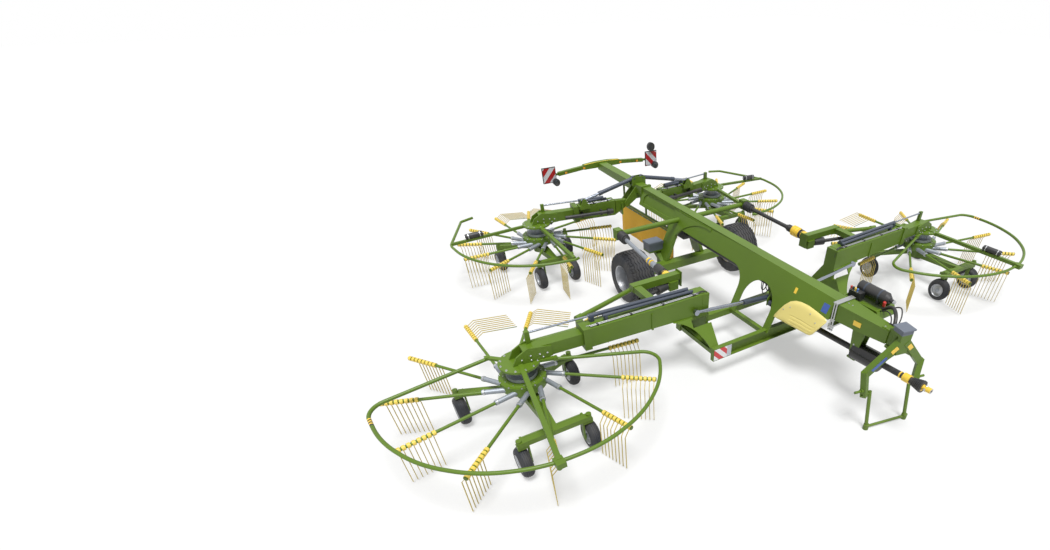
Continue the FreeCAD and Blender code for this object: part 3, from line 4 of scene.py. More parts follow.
import bpy
import numpy as np
from mathutils import Matrix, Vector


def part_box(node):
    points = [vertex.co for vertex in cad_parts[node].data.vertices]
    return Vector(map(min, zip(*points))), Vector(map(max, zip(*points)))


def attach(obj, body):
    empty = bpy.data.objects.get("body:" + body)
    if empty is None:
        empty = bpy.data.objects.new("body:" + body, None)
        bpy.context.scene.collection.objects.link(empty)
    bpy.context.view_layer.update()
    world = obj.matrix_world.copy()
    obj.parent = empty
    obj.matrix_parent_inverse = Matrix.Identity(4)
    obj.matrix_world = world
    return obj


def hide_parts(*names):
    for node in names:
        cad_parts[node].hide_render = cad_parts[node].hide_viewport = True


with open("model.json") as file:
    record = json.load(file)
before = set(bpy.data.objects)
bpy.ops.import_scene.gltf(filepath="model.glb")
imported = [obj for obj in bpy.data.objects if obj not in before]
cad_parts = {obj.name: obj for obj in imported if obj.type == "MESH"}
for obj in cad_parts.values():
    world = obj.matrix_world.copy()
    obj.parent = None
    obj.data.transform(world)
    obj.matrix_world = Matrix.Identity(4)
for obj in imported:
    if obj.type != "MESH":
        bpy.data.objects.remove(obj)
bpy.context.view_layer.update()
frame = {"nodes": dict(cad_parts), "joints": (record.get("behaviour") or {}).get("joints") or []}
joints = {joint["name"]: joint for joint in frame["joints"]}
axleX = joints["transport_wheel_left_spin"]["pos_m"][0]
print("frame loaded with", len(frame["nodes"]), "nodes")

cameraSettings = {"place": (6.8481, -5.4481, 4.685), "heading": 146.11, "down": 42.74, "roll": 0.63,
                  "lens": 16.94, "sensor": 36, "shift": (-0.1413, 0.1449), "far": 200}


def makeCamera(s):
    heading, down, roll = (math.radians(s[key]) for key in ("heading", "down", "roll"))
    flat = math.cos(down)
    ahead = np.array((flat * math.cos(heading), flat * math.sin(heading), -math.sin(down)))
    level = np.cross(ahead, (0, 0, 1))
    level /= np.linalg.norm(level)
    above = np.cross(level, ahead)
    right = math.cos(roll) * level + math.sin(roll) * above
    up = math.cos(roll) * above - math.sin(roll) * level
    data = bpy.data.cameras.new("camera")
    data.lens, data.sensor_width, data.clip_end = s["lens"], s["sensor"], s["far"]
    data.shift_x, data.shift_y = s["shift"]
    camera = bpy.data.objects.new("camera", data)
    camera.matrix_world = Matrix([(*column, place) for column, place in
                                  zip(np.array((right, up, -ahead)).T, s["place"])] + [(0, 0, 0, 1)])
    bpy.context.collection.objects.link(camera)
    bpy.context.scene.camera = camera


makeCamera(cameraSettings)
bpy.context.scene.view_settings.view_transform = "Standard"
print("camera placed")


# Shader expressions: a wire is one socket, and each operator on it adds the node that works it out.
class Wire:
    def __init__(self, finish, socket):
        self.finish, self.socket = finish, socket

    def math(self, operation, *others):
        inputs = dict(enumerate((self, *others)))
        return self.finish.add("ShaderNodeMath", {"operation": operation}, inputs)

    def __add__(self, other):
        return self.math("ADD", other)

    def __sub__(self, other):
        return self.math("SUBTRACT", other)

    def __mul__(self, other):
        return self.math("MULTIPLY", other)

    def __rsub__(self, other):
        return self.finish.add("ShaderNodeMath", {"operation": "SUBTRACT"}, {0: other, 1: self})

    __radd__, __rmul__ = __add__, __mul__

    def held(self):
        # kept from 0 to 1
        return self.math("MAXIMUM", 0.0).math("MINIMUM", 1.0)

    def over(self, level, softness=0.001):
        # 0 below the level and 1 above it, with a soft step between
        return self.finish.add("ShaderNodeMapRange", {"interpolation_type": "SMOOTHSTEP"},
                               {"Value": self, "From Min": level - softness, "From Max": level + softness})

    def repeat(self, period):
        # where it lies in its period, from 0 to 1
        return (self * (1 / period)).math("FRACT")


class Finish:
    def __init__(self, name):
        self.material = bpy.data.materials.new(name)
        self.material.use_nodes = True
        self.tree = self.material.node_tree
        self.shader = self.tree.nodes["Principled BSDF"]
        self.place = self.add("ShaderNodeTexCoord", output="Object")
        self.x, self.y, self.z = (self.add("ShaderNodeSeparateXYZ", inputs={0: self.place}, output=axis)
                                  for axis in "XYZ")

    def plug(self, socket, value):
        if isinstance(value, Wire):
            self.tree.links.new(value.socket, socket)
        else:
            socket.default_value = value

    def add(self, kind, settings=None, inputs=None, output=0):
        node = self.tree.nodes.new(kind)
        for key, value in (settings or {}).items():
            setattr(node, key, value)
        for key, value in (inputs or {}).items():
            self.plug(node.inputs[key], value)
        return Wire(self, node.outputs[output])

    def cloud(self, scale, detail=3.0, rough=0.5):
        return self.add("ShaderNodeTexNoise", inputs={"Vector": self.place, "Scale": scale, "Detail": detail,
                                                      "Roughness": rough})

    def blend(self, factor, first, second):
        return self.add("ShaderNodeMix", {"data_type": "RGBA"}, {0: factor, 6: first, 7: second}, 2)

    def relief(self, height, distance, strength=1.0):
        sizes = {"Height": height, "Distance": distance, "Strength": strength}
        self.plug(self.shader.inputs["Normal"], self.add("ShaderNodeBump", inputs=sizes))

    def set(self, **values):
        # Base_Color stands for the socket Base Color, and so on
        for key, value in values.items():
            self.plug(self.shader.inputs[key.replace("_", " ")], value)
        return self.material


def tone(red, green, blue):
    # a colour given as it is seen on a screen, from 0 to 255, turned into linear light by the sRGB curve
    return tuple(c / 255 / 12.92 if c < 10.4 else ((c / 255 + 0.055) / 1.055) ** 2.4
                 for c in (red, green, blue)) + (1.0,)


def shade(colour, factor):
    return tuple(c * factor for c in colour[:3]) + (1,)


finishes = {}
enamel = {"clouds": 1.3, "grain": 38, "peel": 260, "relief": 0.0006, "dustTop": 0.75, "dustRate": 1.1,
          "dust": tone(150, 140, 115), "dustRough": 0.5, "grainRough": 0.12, "coatRough": 0.2}


def paintFinish(name, colour, rough=0.36, coat=0.25, fade=0.1, dust=0.35, s=enamel):
    # enamel: broad clouds of tone, fine orange peel, and dust that thickens towards the ground
    f = Finish(name)
    broad, fine, peel = f.cloud(s["clouds"], 4), f.cloud(s["grain"], 4, 0.65), f.cloud(s["peel"], 2)
    low = ((s["dustTop"] - f.z) * s["dustRate"]).held()
    dusty = low * fine * dust
    body = f.blend(broad, shade(colour, 1 - fade), shade(colour, 1 + fade))
    f.relief(peel * 0.7 + fine * 0.6, s["relief"], 0.5)
    finishes[name] = f.set(Base_Color=f.blend(dusty, body, s["dust"]), Coat_Weight=coat,
                           Roughness=fine * s["grainRough"] + dusty * s["dustRough"] + rough,
                           Coat_Roughness=s["coatRough"])


def metalFinish(name, colour, rough, metallic=1.0, grain=60.0, mark=0.14, depth=0.5, dark=0.8):
    # bare or plated steel: fine clouds in the roughness and a faint mottling
    f = Finish(name)
    fine, spots = f.cloud(grain, 5, 0.6), f.cloud(9, 4)
    f.relief(fine, 0.0004, depth)
    finishes[name] = f.set(Base_Color=f.blend(spots, shade(colour, dark), colour),
                           Roughness=fine * mark + rough, Metallic=metallic)


def rubberFinish(name, colour, rough=0.62, dust=0.3, grain=130.0, depth=0.0008):
    # rubber and dark plastic: a fine grain, with dust in broad clouds
    f = Finish(name)
    fine, broad = f.cloud(grain, 4, 0.6), f.cloud(5, 4)
    dusty = broad.over(0.5, 0.22) * dust
    f.relief(fine, depth, 0.6)
    body, dirt = f.blend(fine, shade(colour, 0.7), colour), tone(120, 112, 98)
    finishes[name] = f.set(Base_Color=f.blend(dusty, body, dirt), Roughness=rough + fine * 0.15)


paintFinish("greenPaint", tone(83, 111, 14), rough=0.44, coat=0.05, fade=0.2, dust=0.18)
paintFinish("labelBlue", tone(52, 84, 160), rough=0.3, coat=0.4, fade=0.03, dust=0.0)
paintFinish("creamPaint", tone(226, 210, 128), rough=0.42, coat=0.15, fade=0.04, dust=0.15)
paintFinish("slatePaint", tone(58, 66, 80), rough=0.34, dust=0.15)
paintFinish("yellowPlastic", tone(238, 200, 72), rough=0.4, coat=0.1, fade=0.05)
paintFinish("labelYellow", tone(240, 200, 60), rough=0.3, coat=0.4, fade=0.02, dust=0.0)
paintFinish("coilYellow", tone(226, 198, 88), rough=0.42, coat=0.1, fade=0.06, dust=0.1)
paintFinish("tineYellow", tone(192, 170, 74), rough=0.45, coat=0.1, fade=0.14, dust=0.4)
paintFinish("boxGrey", tone(100, 107, 120), rough=0.45, coat=0.1, fade=0.06)
paintFinish("blueRing", tone(70, 120, 190), rough=0.4, coat=0.1, fade=0.05)
paintFinish("redCap", tone(190, 50, 40), rough=0.4, coat=0.1, fade=0.05)
metalFinish("chrome", tone(160, 166, 178), 0.16, mark=0.06, grain=90, depth=0.05)
metalFinish("zincSteel", tone(196, 198, 200), 0.28)
metalFinish("castGrey", tone(158, 164, 172), 0.42, metallic=0.7, grain=110, mark=0.25)
metalFinish("rimSilver", tone(186, 188, 192), 0.34, metallic=0.75)
rubberFinish("tyreRubber", tone(42, 45, 52), dust=0.16)
rubberFinish("blackPlastic", tone(34, 37, 42), rough=0.42, dust=0.12, grain=220, depth=0.0003)
rubberFinish("gloss", tone(22, 23, 26), rough=0.14, dust=0.06, grain=300, depth=0.0001)
rubberFinish("hoseBlack", tone(30, 31, 34), rough=0.36, dust=0.1, grain=420, depth=0.0003)
print("plain finishes made")

# the warning boards: their middles, half a face, half the film in the rim, and the bands' period and start
boards = {"y": 1.29, "z": 1.4, "half": 0.157, "rim": 0.143, "stripe": 0.25, "shift": 0.06, "front": -3.4,
          "cells": 160.0}


def boardFinish(s):
    # reflective film: slanting red and white bands that fall outwards on both boards, a black rim, fine cells
    f = Finish("boardFilm")
    across, up = f.y.math("ABSOLUTE"), f.z
    bands = (across + up - s["shift"]).repeat(s["stripe"]).over(0.5, 0.004)
    rim = (across - s["y"]).math("ABSOLUTE").math("MAXIMUM", (up - s["z"]).math("ABSOLUTE")).over(s["rim"])
    cells = f.add("ShaderNodeTexVoronoi", {"feature": "DISTANCE_TO_EDGE"},
                  {"Vector": f.place, "Scale": s["cells"]}, "Distance")
    edge = f.cloud(30, 3)
    f.relief(cells.over(0.08, 0.06), 0.0004, 0.35)
    red = f.blend(edge, tone(184, 24, 32), tone(160, 20, 30))
    white = f.blend(edge, tone(222, 224, 230), tone(200, 204, 212))
    finishes["boardFilm"] = f.set(Base_Color=f.blend(rim, f.blend(bands, red, white), tone(30, 32, 36)),
                                  Roughness=0.24 + edge * 0.12, Coat_Weight=0.5)


markers = {"stripe": 0.19, "shift": 0.02, "grey": 1.24}


def markerFinish(s):
    # the small plates on the front frame: red and white bands beside a grey end
    f = Finish("markerFilm")
    side = f.y.math("ABSOLUTE")
    bands = (side - f.z - s["shift"]).repeat(s["stripe"]).over(0.5, 0.004)
    grey = 1 - side.over(s["grey"], 0.002)
    edge = f.cloud(34, 3)
    f.relief(edge, 0.0003, 0.4)
    film = f.blend(bands, tone(192, 28, 36), f.blend(edge, tone(228, 229, 231), tone(208, 210, 214)))
    finishes["markerFilm"] = f.set(Base_Color=f.blend(grey, film, tone(176, 180, 188)),
                                   Roughness=0.26 + edge * 0.1, Coat_Weight=0.4)


def lensFinish(name, colour, prisms=420):
    # moulded lens: a grid of small prisms under a glossy skin
    f = Finish(name)
    grid = ((f.y * prisms).math("SINE") + (f.z * prisms).math("SINE")) * 0.5
    f.relief(grid, 0.0006, 0.7)
    finishes[name] = f.set(Base_Color=f.blend(f.cloud(20), colour, shade(colour, 0.75)),
                           Roughness=0.1 + f.cloud(60) * 0.08, Coat_Weight=0.8)


canvas = {"threads": 1400, "clouds": 2.2, "streaks": 14, "hemZ": 0.23, "hemRate": 1.6}


def clothFinish(s):
    # coated canvas: over-and-under weave, wide faded clouds, darker towards its hem
    f = Finish("curtainCloth")
    weave = (f.x * s["threads"]).math("SINE") * (f.z * s["threads"]).math("SINE")
    broad, streak = f.cloud(s["clouds"], 5, 0.6), f.cloud(s["streaks"], 4)
    hem = ((f.z - s["hemZ"]) * s["hemRate"]).held()
    worn = f.blend(broad, tone(226, 172, 30), tone(240, 192, 52))
    f.relief(weave * 0.5 + streak, 0.0012, 0.5)
    finishes["curtainCloth"] = f.set(Base_Color=f.blend(hem * 0.6 + 0.4, tone(206, 152, 28), worn),
                                     Roughness=0.62 + streak * 0.18)


boardFinish(boards)
markerFinish(markers)
lensFinish("amberLens", tone(246, 178, 40))
lensFinish("redLens", tone(190, 24, 24))
lensFinish("lampGlass", tone(60, 64, 72))
clothFinish(canvas)
print("film, lens and cloth finishes made")


def at(x, y, z):
    # a point given from the transport axle
    return np.array((x + axleX, y, z), float)


def unit(direction):
    direction = np.asarray(direction, float)
    return direction / np.linalg.norm(direction)


def axesOf(direction):
    # two directions at right angles to the given one, and that one itself
    along = unit(direction)
    across = unit(np.cross((0, 0, 1) if abs(along[2]) < 0.9 else (1, 0, 0), along))
    return across, np.cross(along, across), along


def anglesOf(around):
    return np.linspace(0, 2 * math.pi, around, endpoint=False)


def skin(rows, closed=False):
    # every row is a closed ring; neighbouring rows are joined by four-sided faces, and open ends get a lid
    count, around = rows.shape[:2]
    row = np.arange(count if closed else count - 1)[:, None]
    column = np.arange(around)[None, :]
    after, above = (column + 1) % around, (row + 1) % count
    quads = np.stack(np.broadcast_arrays(row * around + column, row * around + after, above * around + after,
                                         above * around + column), -1).reshape(-1, 4)
    lids = [] if closed else [np.arange(around)[::-1], (count - 1) * around + np.arange(around)]
    return rows.reshape(-1, 3), quads, lids


def turnedForm(start, direction, profile, around=32):
    # a profile of (distance along, radius) turned about a line: start + along d + radius (cos t a + sin t b)
    a, b, d = axesOf(direction)
    along, radius = np.array(profile, float).T
    turn = anglesOf(around)[:, None]
    ring = np.cos(turn) * a + np.sin(turn) * b
    return skin(np.asarray(start, float) + along[:, None, None] * d + radius[:, None, None] * ring[None])


def pipeForm(path, radius, around=12):
    # a circle carried along a path; its side directions come from the axis that the path leans on least
    path = np.asarray(path, float)
    tangent = np.gradient(path, axis=0)
    tangent /= np.linalg.norm(tangent, axis=1)[:, None]
    fixed = np.eye(3)[np.argmin(np.abs(tangent).max(0))]
    a = np.cross(fixed, tangent)
    a /= np.linalg.norm(a, axis=1)[:, None]
    b = np.cross(tangent, a)
    turn = anglesOf(around)[None, :, None]
    return skin(path[:, None] + radius * (np.cos(turn) * a[:, None] + np.sin(turn) * b[:, None]))


def blockForm(centre, size, axes=((1, 0, 0), (0, 1, 0), (0, 0, 1)), chamfer=0.003):
    # an eight-sided outline, pulled in at both ends, so that every edge is bevelled
    a, b, c = (value / 2 for value in size)
    k = chamfer
    rows = []
    for x, inset in ((-a, k), (-a + k, 0), (a - k, 0), (a, k)):
        h, v = b - inset, c - inset
        rows.append([(x, h, k - v), (x, h, v - k), (x, h - k, v), (x, k - h, v),
                     (x, -h, v - k), (x, -h, k - v), (x, k - h, -v), (x, h - k, -v)])
    return skin(np.asarray(centre, float) + np.array(rows) @ np.array([unit(axis) for axis in axes]))


# a washer and the six-sided head on it, as shares of the bolt's size
bolt = {"sink": 0.1, "washer": [(0, 0.95), (0.25, 0.95), (0.3, 0.86)],
        "head": [(0.15, 0.62), (0.65, 0.62), (0.8, 0.5)]}


def mirroredForm(form):
    # the same form on the machine's other side, with its faces turned round again
    points, quads, lids = form
    return points * (1, -1, 1), quads[:, ::-1], [lid[::-1] for lid in lids]


class Parts(list):
    # the (form, finish) parts of one piece
    def add(self, finish, form):
        self.append((form, finish))

    def turned(self, finish, start, direction, profile, around=32):
        self.add(finish, turnedForm(start, direction, profile, around))

    def block(self, finish, centre, size, axes=((1, 0, 0), (0, 1, 0), (0, 0, 1)), chamfer=0.003):
        self.add(finish, blockForm(centre, size, axes, chamfer))

    def bolted(self, place, direction, size):
        d = unit(direction)
        washer, head = ([(a * size, r * size) for a, r in bolt[key]] for key in ("washer", "head"))
        self.turned("zincSteel", place - d * size * bolt["sink"], d, washer, 14)
        self.turned("zincSteel", place, d, head, 6)

    def mirrored(self):
        return Parts((mirroredForm(form), finish) for form, finish in self)

    def both(self):
        # the parts and their mirror images on the machine's left side
        return Parts(self + self.mirrored())

    def sided(self, side):
        return self if side == "right" else self.mirrored()


def makePiece(name, body, parts, crease=34):
    # joins the parts into one object whose faces keep their own finish
    names = list(dict.fromkeys(finish for _, finish in parts))
    corners, sizes, picks, base = [], [], [], 0
    for (points, quads, lids), finish in parts:
        corners += [quads.ravel() + base] + [lid + base for lid in lids]
        sizes += [np.full(len(quads), 4)] + [np.array([len(lid)]) for lid in lids]
        picks.append(np.full(len(quads) + len(lids), names.index(finish)))
        base += len(points)
    corners, sizes, picks = np.concatenate(corners), np.concatenate(sizes), np.concatenate(picks)
    starts = np.concatenate(([0], np.cumsum(sizes)[:-1]))
    mesh = bpy.data.meshes.new(name)
    mesh.vertices.add(base)
    mesh.vertices.foreach_set("co", np.concatenate([form[0] for form, _ in parts]).ravel())
    mesh.loops.add(len(corners))
    mesh.loops.foreach_set("vertex_index", corners.astype(np.int32))
    mesh.polygons.add(len(sizes))
    mesh.polygons.foreach_set("loop_start", starts.astype(np.int32))
    mesh.update(calc_edges=True)
    for finish in names:
        mesh.materials.append(finishes[finish])
    mesh.polygons.foreach_set("material_index", picks.astype(np.int32))
    mesh.shade_smooth()
    mesh.set_sharp_from_angle(angle=math.radians(crease))
    piece = bpy.data.objects.new(name, mesh)
    bpy.context.collection.objects.link(piece)
    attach(piece, body)
    return piece


def makeHose(name, body, route, diameter):
    # a hose on a smooth NURBS line through control points
    data = bpy.data.curves.new(name, "CURVE")
    data.dimensions = "3D"
    line = data.splines.new("NURBS")
    line.points.add(len(route) - 1)
    line.points.foreach_set("co", np.array([(*point, 1) for point in route]).ravel())
    line.order_u = 3
    line.use_endpoint_u = True
    data.resolution_u = 10
    hose = bpy.data.objects.new(name, data)
    bpy.context.collection.objects.link(hose)
    thin = bpy.data.meshes.new_from_object(hose)
    bpy.data.meshes.remove(thin)
    data.bevel_depth, data.bevel_resolution, data.use_fill_caps = diameter / 2, 3, True
    data.materials.append(finishes["hoseBlack"])
    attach(hose, body)
    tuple(route[0])


print("form makers ready")

# each rotor's axis and arms, and the boom that carries it: its sweep, and the width and top of its inner box
units = {
    "front": {"axis": (2.206, 4.181), "sweep": 3.28, "arms": 11, "reach": 1.776, "offset": 0.185,
              "phase": -145.1, "armZ": 0.655, "box": (0.24, 1.244)},
    "rear": {"axis": (-2.15, 2.19), "sweep": 9.0, "arms": 13, "reach": 1.581, "offset": 0.196,
             "phase": -117.9, "armZ": 0.649, "box": (0.225, 1.215)},
}
corners = [(end, side) for end in ("front", "rear") for side in ("right", "left")]


def rotorPoint(end, side, x, y, z, swept=False):
    # a point beside a rotor's axis, +y being inboard on the right side; swept ones turn with the boom
    spec = units[end]
    turn = math.radians(-spec["sweep"] if swept else 0)
    px = spec["axis"][0] + x * math.cos(turn) - y * math.sin(turn)
    py = -spec["axis"][1] + x * math.sin(turn) + y * math.cos(turn)
    return at(px, py if side == "right" else -py, z)


def rotorLocal(end, side, points, swept=False):
    # the way back: frame points turned into that unit's own coordinates
    spec = units[end]
    turn = math.radians(spec["sweep"] if swept else 0)
    x = points[:, 0] - axleX - spec["axis"][0]
    y = points[:, 1] * (1 if side == "right" else -1) + spec["axis"][1]
    return x * math.cos(turn) - y * math.sin(turn), x * math.sin(turn) + y * math.cos(turn), points[:, 2]


def armTurns(end):
    spec = units[end]
    return np.radians(spec["phase"] + 360 * np.arange(spec["arms"]) / spec["arms"])


def paintNode(node, names, pick=None):
    # gives the node's faces their finishes: pick turns their centres and normals into a number for each
    mesh = frame["nodes"][node].data
    while len(mesh.materials) < len(names):
        mesh.materials.append(None)
    for index, name in enumerate(names):
        frame["nodes"][node].material_slots[index].material = finishes[name]
    choice = np.zeros(len(mesh.polygons), np.int32)
    if pick:
        centres, normals = (np.empty(len(mesh.polygons) * 3) for _ in range(2))
        mesh.polygons.foreach_get("center", centres)
        mesh.polygons.foreach_get("normal", normals)
        choice[:] = pick(centres.reshape(-1, 3), normals.reshape(-1, 3))
    mesh.polygons.foreach_set("material_index", choice)


# radii about an arm's line, and how far from its tip or from the hub each finish begins
armMarks = {"hub": 0.306, "socket": 0.036, "socketEnd": 0.525, "beyond": 0.02, "coilLength": 0.475,
            "tube": 0.0225, "coil": 0.0335, "capLength": 0.0095, "cap": 0.03}


def pickRotorFaces(end, side, s):
    spec = units[end]
    tip = math.sqrt(spec["reach"] ** 2 - spec["offset"] ** 2)

    def pick(centres, normals):
        # the distance from the nearest arm's line, and how far out along it, tell socket, tube, coil and tine
        x, y, z = rotorLocal(end, side, centres)
        turns = armTurns(end)[:, None]
        out = x * np.cos(turns) + y * np.sin(turns)
        off = np.abs(y * np.cos(turns) - x * np.sin(turns) - spec["offset"])
        far = 9
        nearest = np.argmin(np.where(out > 0, off, far) + np.where(out > tip + s["beyond"], far, 0), axis=0)
        out, off = (np.take_along_axis(value, nearest[None], 0)[0] for value in (out, off))
        away = np.hypot(off, z - spec["armZ"])
        kind = np.zeros(len(x), np.int32)
        kind[(np.hypot(x, y) > s["hub"]) & (away < s["socket"]) & (out < s["socketEnd"])] = 1
        kind[(out > tip - s["coilLength"]) & (away > s["tube"])] = 2
        kind[(out > tip - s["coilLength"]) & (away > s["coil"])] = 3
        kind[(out > tip - s["capLength"]) & (away < s["cap"])] = 0
        return kind
    return pick


# the drum under the gearbox is cast, the reach rod on the boom is chromed, the drive inlet is a black boot
headMarks = {"drum": 0.206, "drumZ": (0.745, 0.9), "rodX": 0.048, "rodZ": 0.036, "rod": 0.016, "rodFrom": 0.2,
             "inlet": (-0.15, 0.9), "inletRadius": 0.054, "inletY": (0.06, 0.34)}


def pickFrameFaces(end, side, s):
    wide, top = units[end]["box"]

    def pick(centres, normals):
        x, y, z = rotorLocal(end, side, centres)
        sx, sy, _ = rotorLocal(end, side, centres, True)
        kind = np.zeros(len(x), np.int32)
        kind[(np.hypot(x, y) < s["drum"]) & (z > s["drumZ"][0]) & (z < s["drumZ"][1])] = 1
        rodX, rodZ = -wide / 2 + s["rodX"], top + s["rodZ"]
        kind[(np.hypot(sx - rodX, z - rodZ) < s["rod"]) & (sy > s["rodFrom"])] = 2
        inlet = np.hypot(sx - s["inlet"][0], z - s["inlet"][1]) < s["inletRadius"]
        kind[inlet & (sy > s["inletY"][0]) & (sy < s["inletY"][1])] = 3
        return kind
    return pick


# above this height a boom's gear is its slate cylinders; below it are black guards, and in front also the
# green angle gearbox and the yellow clutch drum
gearMarks = {"cylinders": 1.2, "boxX": (1.628, 1.772), "boxY": (1.39, 1.57), "boxTop": 1.16, "drumX": 1.626,
             "drumBase": 1.08, "drumY": 1.6}


def pickGearFaces(end, s):
    def pick(centres, normals):
        x, y, z = centres[:, 0] - axleX, np.abs(centres[:, 1]), centres[:, 2]
        kind = np.ones(len(x), np.int32)
        kind[z > s["cylinders"]] = 0
        if end == "front":
            inside = (x > s["boxX"][0]) & (x < s["boxX"][1]) & (y > s["boxY"][0]) & (y < s["boxY"][1])
            kind[inside & (z < s["boxTop"])] = 2
            kind[(x < s["drumX"]) & (z > s["drumBase"]) & (y < s["drumY"])] = 3
        return kind
    return pick


shaftMarks = {"boot": 0.16, "clutch": 1.27}


def pickShaftFaces(s):
    def pick(centres, normals):
        # right side: grey tube between black ends; left side: black tube with a yellow drum at its front end
        x, left = centres[:, 0] - axleX, centres[:, 1] > 0
        kind = np.where(left, 1, 0)
        kind[x < s["boot"]] = 1
        kind[x > s["clutch"]] = np.where(left[x > s["clutch"]], 2, 1)
        return kind
    return pick


# the PTO line's axis starts here and rises by its slope; the pairs are where bell, ring and yoke lie along it
ptoLine = {"start": (3.1, 0.69), "slope": 0.04721, "bell": (4.2, 4.65), "bellRadius": 0.06,
           "ring": (5.015, 5.125), "yoke": 5.312, "bare": 5.4}


def pickPtoFaces(s):
    def pick(centres, normals):
        # a glossy bell, a yellow ring and a yellow yoke with a bare end on a black guard tube
        x = centres[:, 0] - axleX
        away = np.hypot(centres[:, 1], centres[:, 2] - s["start"][1] - (x - s["start"][0]) * s["slope"])
        kind = np.zeros(len(x), np.int32)
        kind[(x > s["bell"][0]) & (x < s["bell"][1]) & (away > s["bellRadius"])] = 1
        kind[(x > s["ring"][0]) & (x < s["ring"][1])] = 2
        kind[x > s["yoke"]] = 2
        kind[x > s["bare"]] = 3
        return kind
    return pick


def pickBoardFaces(s):
    def pick(centres, normals):
        # the film lies on both faces of each board, inside its edge
        y, z = np.abs(centres[:, 1]), centres[:, 2]
        inside = np.maximum(np.abs(y - s["y"]), np.abs(z - s["z"])) < s["half"]
        flat = (np.abs(normals[:, 0]) > 0.9) & inside & (centres[:, 0] - axleX < s["front"])
        return np.where(flat, 1, 0)
    return pick


plainNodes = {
    "greenPaint": ("main_beam", "axle_frame", "rear_spine", "drawbar", "hose_tray", "drive_tube", "headstock",
                   "parking_stand"),
    "blackPlastic": ("accumulator", "cardan_shaft"), "boxGrey": ("toolbox", "control_box"),
    "creamPaint": ("side_covers",), "zincSteel": ("beam_clamps",), "curtainCloth": ("swath_curtain",),
}
for finish, nodes in plainNodes.items():
    for node in nodes:
        paintNode(node, [finish])
paintNode("side_shafts", ["castGrey", "blackPlastic", "yellowPlastic"], pickShaftFaces(shaftMarks))
paintNode("pto_shaft", ["blackPlastic", "gloss", "yellowPlastic", "zincSteel"], pickPtoFaces(ptoLine))
paintNode("warning_boards", ["blackPlastic", "boardFilm"], pickBoardFaces(boards))
for end, side in corners:
    tail = end + "_" + side
    paintNode("boom_" + tail, ["greenPaint"])
    paintNode("boom_gear_" + tail, ["slatePaint", "blackPlastic", "greenPaint", "yellowPlastic"],
              pickGearFaces(end, gearMarks))
    paintNode("rotor_" + tail, ["greenPaint", "castGrey", "coilYellow", "tineYellow"],
              pickRotorFaces(end, side, armMarks))
    paintNode("rotor_frame_" + tail, ["greenPaint", "castGrey", "chrome", "blackPlastic"],
              pickFrameFaces(end, side, headMarks))
    paintNode("lift_barrel_" + tail, ["slatePaint"])
    paintNode("lift_rod_" + tail, ["chrome"])
print("CAD nodes painted")


def wheelForm(centre, loop, around, wave=None):
    # a closed outline of (radius, distance along Y) turned about the axle; wave may shift it by its angle
    radius, along = np.array(loop, float).T
    turn = anglesOf(around)[:, None]
    radius, along = (np.broadcast_to(value, (around, len(loop))) for value in (radius, along))
    if wave:
        radius, along = wave(turn, radius, along)
    rows = np.stack((radius * np.cos(turn), along, radius * np.sin(turn)), -1)
    return skin(rows + np.asarray(centre, float), closed=True)


def flipped(outline):
    # the outline's mirror image, to be walked before it
    return [(r, -a) for r, a in reversed(outline)]


def ringSpots(centre, radius, count, shift):
    # places on a circle about the axle, moved out along it by shift
    for turn in anglesOf(count):
        yield centre + radius * np.array((math.cos(turn), 0, math.sin(turn))) + (0, shift, 0)


# side and bead are (below the crown or above the rim, in from the side); flange, disc and hub make the rim;
# a fade is (how far inside the crown or edge it starts, over what length); bore is (radius, front, back)
roadWheel = {
    "radius": 0.465, "half": 0.25, "rim": 0.222, "edge": 0.045, "depth": 0.016, "ribs": 7, "waves": 22,
    "around": 440, "crowning": 0.02,
    "rib": ((0.0, 1), (0.13, 1), (0.2, 0.125), (0.3, 0), (0.7, 0), (0.8, 0.125), (0.87, 1)),
    "side": ((0.030, 0.028), (0.06, 0.008), (0.11, 0)),
    "bead": ((0.075, 0.002), (0.05, 0), (0.03, 0.012), (0.012, 0.02), (0, 0.03), (0.004, 0.06)),
    "sway": 0.012, "swayFade": (0.05, 0.03), "blockShare": 0.28, "blockDepth": 0.9, "blockFade": (0.03, 0.01),
    "bore": (0.05, 0.062, -0.05), "back": -0.03, "well": -0.006, "barrel": (-0.02, 0.6),
    "flange": ((0.004, 0.02), (0.02, 0.012), (0.018, 0.022), (-0.002, 0.04)),
    "disc": ((-0.034, 0.03), (-0.07, 0.004)),
    "hub": ((0.13, 0.012), (0.115, 0.03), (0.085, 0.034), (0.08, 0.062)),
    "cap": [(0, 0.062), (0.03, 0.062), (0.045, 0.05), (0.05, 0.02)], "capAt": 0.055,
    "bolts": {"count": 8, "circle": 0.1, "at": 0.034, "size": 0.017},
    "valve": [(0, 0.006), (0.04, 0.006), (0.045, 0.004)], "valveAt": (0.17, 0.02),
}


